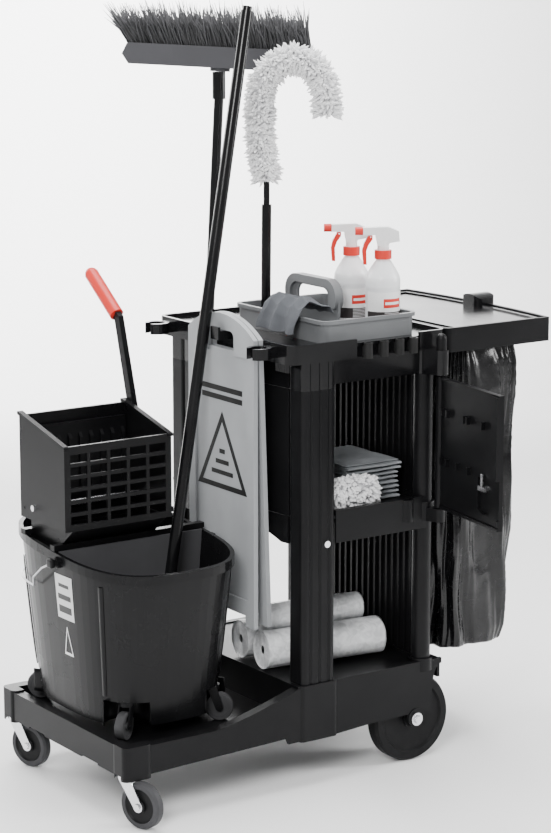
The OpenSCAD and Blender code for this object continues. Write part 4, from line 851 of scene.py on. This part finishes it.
class CART_OT_sign_print(bpy.types.Operator):
    """Plain triangle and bars printed on the floor sign."""
    bl_idname = "cart.sign_print"
    bl_label = "Sign print"

    def execute(self, context):
        """Flat strips just proud of the sign's recessed face, each a path widened by a fixed amount."""
        mid = middle("sign_front")[2]
        x = -0.0303
        ink = moulded("sign_ink", (0.012, 0.012, 0.012), 0.5)
        y, z = mid[1], 0.665
        corner = np.array([[y - 0.098, z - 0.02], [y + 0.098, z - 0.02], [y, z + 0.155]])
        centre = corner.mean(axis=0)
        outer = np.vstack([corner, corner[:1]])
        inner = centre + (outer - centre) * 0.80
        self.strip("sign_triangle", x, outer, inner, ink)
        for k, (w, at) in enumerate(((0.085, z + 0.012), (0.052, z + 0.036), (0.022, z + 0.060))):
            left = np.array([[y - w / 2, at], [y - w / 2, at + 0.010]])
            self.strip(f"sign_mark_{k + 1}", x, left, left + [w, 0], ink)
        for k, (w, at) in enumerate(((0.16, 0.865), (0.16, 0.845))):
            rule = np.array([[y - w / 2, at], [y + w / 2, at]])
            self.strip(f"sign_rule_{k + 1}", x, rule, rule + [0, 0.012], ink)
        return {"FINISHED"}

    def strip(self, name, x, one, two, ink):
        """Quads between two lines in the sign's face."""
        grid = np.stack([one, two], axis=0)
        points = np.concatenate([np.full((*grid.shape[:2], 1), x), grid], axis=-1)
        piece = surface(name, points, smooth=False)
        thicken(piece, 0.0003)
        settle(piece, "sign", "sign_plastic", ink)


def pail_wall(a, z):
    """Point of the pail's wall at polar angle a and height z: a squared oval that widens towards its rim."""
    foot = 0.186
    rim = 0.550 + (PAIL_HALF[1] * 0.9 * np.sin(a)) * math.tan(math.radians(4.9))
    share = 0.82 + 0.165 * (z - foot) / (rim - foot)
    n = 3.0
    c, s = np.cos(a), np.sin(a)
    hx, hy = (h * share + 0.0008 for h in PAIL_HALF)
    r = (np.abs(c / hx) ** n + np.abs(s / hy) ** n) ** (-1 / n)
    return packed(PAIL_MID[0] + r * c, PAIL_MID[1] + r * s, z)


def off_pail(points):
    """Level directions away from the pail's middle."""
    return unit((points - PAIL_MID) * [1, 1, 0])


class CART_OT_pail_panels(bpy.types.Operator):
    """Plain light panel and triangle on the pail's side."""
    bl_idname = "cart.pail_panels"
    bl_label = "Pail panels"

    def execute(self, context):
        """Patches that follow the pail's wall, just proud of it."""
        light = screen_print("pail_badge", (0.62, 0.62, 0.62), (0.02, 0.02, 0.02), self.rows)
        plain = moulded("pail_triangle", (0.72, 0.72, 0.72), 0.4)
        a = np.linspace(math.radians(182), math.radians(203), 40)[None, :]
        h = np.linspace(0.400, 0.500, 20)[:, None]
        badge = surface("pail_badge", pail_wall(a, h), uv=unit_uv(a, h))
        settle(badge, "mop_bucket", "bucket_plastic", light)
        corner = np.array([[187, 0.318], [199, 0.318], [193, 0.386], [187, 0.318]])
        outer = resampled(corner * [1 / 60, 1], 46) * [60, 1]
        centre = corner[:3].mean(axis=0)
        grid = np.stack([outer, centre + (outer - centre) * 0.74], axis=0)
        mark = surface("pail_triangle", pail_wall(np.radians(grid[..., 0]), grid[..., 1]))
        settle(mark, "mop_bucket", "bucket_plastic", plain)
        return {"FINISHED"}

    def rows(self, f):
        """Three plain bars."""
        u, v = f.uv("X"), f.uv("Y")
        return ((v > 0.44) * (v < 0.56) * (u > 0.12) * (u < 0.88)
                + (v > 0.72) * (v < 0.80) * (u > 0.2) * (u < 0.8)
                + (v > 0.14) * (v < 0.30) * (u > 0.12) * (u < 0.88)).clamp()


class CART_OT_pail_fittings(bpy.types.Operator):
    """Caster wells, wall ribs, bail pivot blocks and the bent bail wire of the pail."""
    bl_idname = "cart.pail_fittings"
    bl_label = "Pail fittings"

    def execute(self, context):
        """Wells are parts of upright cylinders; ribs follow the pail's wall; the wire is a tube round it."""
        black = moulded("pail_fitting", tuple(k * 0.9 for k in colors().plastic), 0.3, 0.00008, specular=0.16)
        for k, stem in enumerate(PAIL_STEMS):
            inward = math.atan2(PAIL_MID[1] - stem[1], PAIL_MID[0] - stem[0])
            a = np.linspace(inward - 1.75, inward + 1.75, 48)[None, :]
            z = np.linspace(0.1875, 0.2395, 6)[:, None]
            well = packed(stem[0] + 0.0505 * np.cos(a), stem[1] + 0.0505 * np.sin(a),
                             z)
            piece = surface(f"caster_well_{k + 1}", well)
            thicken(piece, 0.0016)
            settle(piece, "mop_bucket", "bucket_plastic", black)
        # upright ribs where the near bowl meets the flatter sides
        for k, (at, wide) in enumerate(((225.5, 1.5), (312.0, 1.2), (134.0, 1.3))):
            a = np.radians(np.linspace(at - wide, at + wide, 9))[None, :]
            z = np.linspace(0.250, 0.498, 40)[:, None]
            across = np.cos(np.linspace(-1, 1, 9) * math.pi / 2)[None, :, None]
            upright = np.sin(np.linspace(0.02, 0.98, 40) * math.pi)[:, None, None] ** 0.25
            points = pail_wall(a, z)
            rib = surface(f"pail_rib_{k + 1}", points + off_pail(points) * 0.0045 * across * upright)
            settle(rib, "mop_bucket", "bucket_plastic", black)
        # bail: down and back from each ear, then round the pail's far side
        a = np.radians(np.linspace(157, 23, 60))
        round_far = pail_wall(a, 0.452)
        round_far = round_far + off_pail(round_far) * 0.011
        left, right = BAIL_ENDS
        line = np.concatenate([
            [[left, BAIL_Y, BAIL_Z], [-0.4475, 0.030, 0.510], [-0.4480, 0.066, 0.483]], round_far,
            [[-0.0320, 0.066, 0.483], [-0.0325, 0.030, 0.510], [right, BAIL_Y, BAIL_Z]]])
        wire = surface("bail_loop", facing_out(tube(resampled(line, 220), 0.0022, 10)), wrap_v=True)
        settle(wire, "bail_wire", "bail_wire", plated("bail_steel", (0.6, 0.6, 0.62), 0.3), "bail")
        for k, x in enumerate(BAIL_ENDS):
            t = np.linspace(0, math.pi, 20)[:, None]
            q = np.linspace(0, TAU, 28, endpoint=False)[None, :]
            ball = packed(np.cos(t), np.sin(t) * np.cos(q), np.sin(t) * np.sin(q))
            ball = ball / ((np.abs(ball) ** 5).sum(axis=-1, keepdims=True) ** 0.2)
            shell = np.array([x, BAIL_Y, BAIL_Z]) + ball * [0.0065, 0.011, 0.010]
            block = surface(f"bail_block_{k + 1}", facing_out(shell), wrap_v=True)
            settle(block, "mop_bucket", "bucket_plastic", black)
        return {"FINISHED"}


class CART_OT_stage(bpy.types.Operator):
    """Pale floor, soft studio lights and the camera."""
    bl_idname = "cart.stage"
    bl_label = "Stage"

    def execute(self, context):
        """Floor profile: level, then a quarter circle up to an upright wall behind, carried sideways."""
        scene = context.scene
        t = np.linspace(0, math.pi / 2, 16)
        run = np.concatenate([[[-9, 0]], packed(4.0 + 2 * np.sin(t), 2 - 2 * np.cos(t)), [[6.0, 9.0]]])
        yaw = math.radians(CAMERA_YAW)
        side = np.array([math.cos(yaw), math.sin(yaw), 0])
        ahead = np.array([-math.sin(yaw), math.cos(yaw), 0])
        across = np.linspace(-9, 9, 5)
        up = np.array([0, 0, 1.0])
        points = run[:, None, :1] * ahead + across[None, :, None] * side + run[:, None, 1:] * up
        backdrop = surface("studio_floor", points)
        pale = tuple(colors().floor)
        floor = Finish("studio_paper", pale, 0.85, specular=0.1)
        mottle = floor.noise(2.5, 3)
        floor.feed("Base Color", floor.blend(mottle, pale, tuple(k * 0.985 for k in pale)))
        backdrop.data.materials.append(floor.material)

        world = bpy.data.worlds.new("studio_air")
        scene.world = world
        world.use_nodes = True
        world.node_tree.nodes["Background"].inputs[0].default_value = (1, 1, 1, 1)
        world.node_tree.nodes["Background"].inputs[1].default_value = 0.5

        aim = np.array([0.1, 0.0, 0.8])
        for name, at, power, wide, tall in (
                ("key", (-3.4, -3.2, 3.4), 210, 1.6, 1.6), ("top", (0.2, 0.3, 4.4), 300, 3.0, 3.0),
                ("side", (3.6, -2.2, 2.2), 150, 0.9, 2.2), ("back", (-1.5, 3.4, 2.6), 110, 1.2, 2.0),
                ("wash", (1.5, 4.2, 3.2), 520, 3.0, 2.4)):
            lamp = bpy.data.lights.new(name, "AREA")
            lamp.shape, lamp.size, lamp.size_y, lamp.energy = "RECTANGLE", wide, tall, power
            holder = bpy.data.objects.new(name, lamp)
            scene.collection.objects.link(holder)
            way = aim - np.array(at)
            if name == "wash":
                way = np.array([0.3, 1.0, -0.6])
            holder.location = at
            holder.rotation_euler = self.facing(way)

        lens = bpy.data.cameras.new("camera")
        lens.sensor_width, lens.lens = 36, CAMERA_LENS
        camera = bpy.data.objects.new("camera", lens)
        camera.location = CAMERA_AT
        camera.rotation_euler = (math.radians(90 - CAMERA_DOWN), 0, yaw)
        scene.collection.objects.link(camera)
        scene.camera = camera
        return {"FINISHED"}

    def facing(self, way):
        """Euler angles that turn a lamp's -Z along a direction."""
        x, y, z = way
        return (math.atan2(math.hypot(x, y), -z), 0, math.atan2(y, x) - math.pi / 2)


PIECES = (CART_OT_stage, CART_OT_frame_finishes, CART_OT_waste_bag, CART_OT_cloths, CART_OT_white_pad,
          CART_OT_duster, CART_OT_mop_head, CART_OT_bristles, CART_OT_liner_rolls, CART_OT_bottles,
          CART_OT_sign_print, CART_OT_pail_panels, CART_OT_pail_fittings)


class CART_PT_kit(bpy.types.Panel):
    """Lists the cart's pieces with their sizes and colours."""
    bl_label = "Housekeeping cart"
    bl_idname = "CART_PT_kit"
    bl_space_type = "VIEW_3D"
    bl_region_type = "UI"
    bl_category = "Cart"

    def draw(self, context):
        for group in (context.scene.cart_sizes, context.scene.cart_colors):
            for key in group.__annotations__:
                self.layout.prop(group, key)
        for piece in PIECES:
            self.layout.operator(piece.bl_idname)


CLASSES = (CartColors, CartSizes, *PIECES, CART_PT_kit)


def register():
    for made in CLASSES:
        bpy.utils.register_class(made)
    bpy.types.Scene.cart_colors = bpy.props.PointerProperty(type=CartColors)
    bpy.types.Scene.cart_sizes = bpy.props.PointerProperty(type=CartSizes)


def unregister():
    del bpy.types.Scene.cart_colors, bpy.types.Scene.cart_sizes
    for made in reversed(CLASSES):
        bpy.utils.unregister_class(made)


def main():
    register()
    for piece in PIECES:
        group, name = piece.bl_idname.split(".")
        if getattr(getattr(bpy.ops, group), name)() != {"FINISHED"}:
            raise RuntimeError(f"{piece.bl_label} was not finished")


if __name__ == "__main__":
    main()
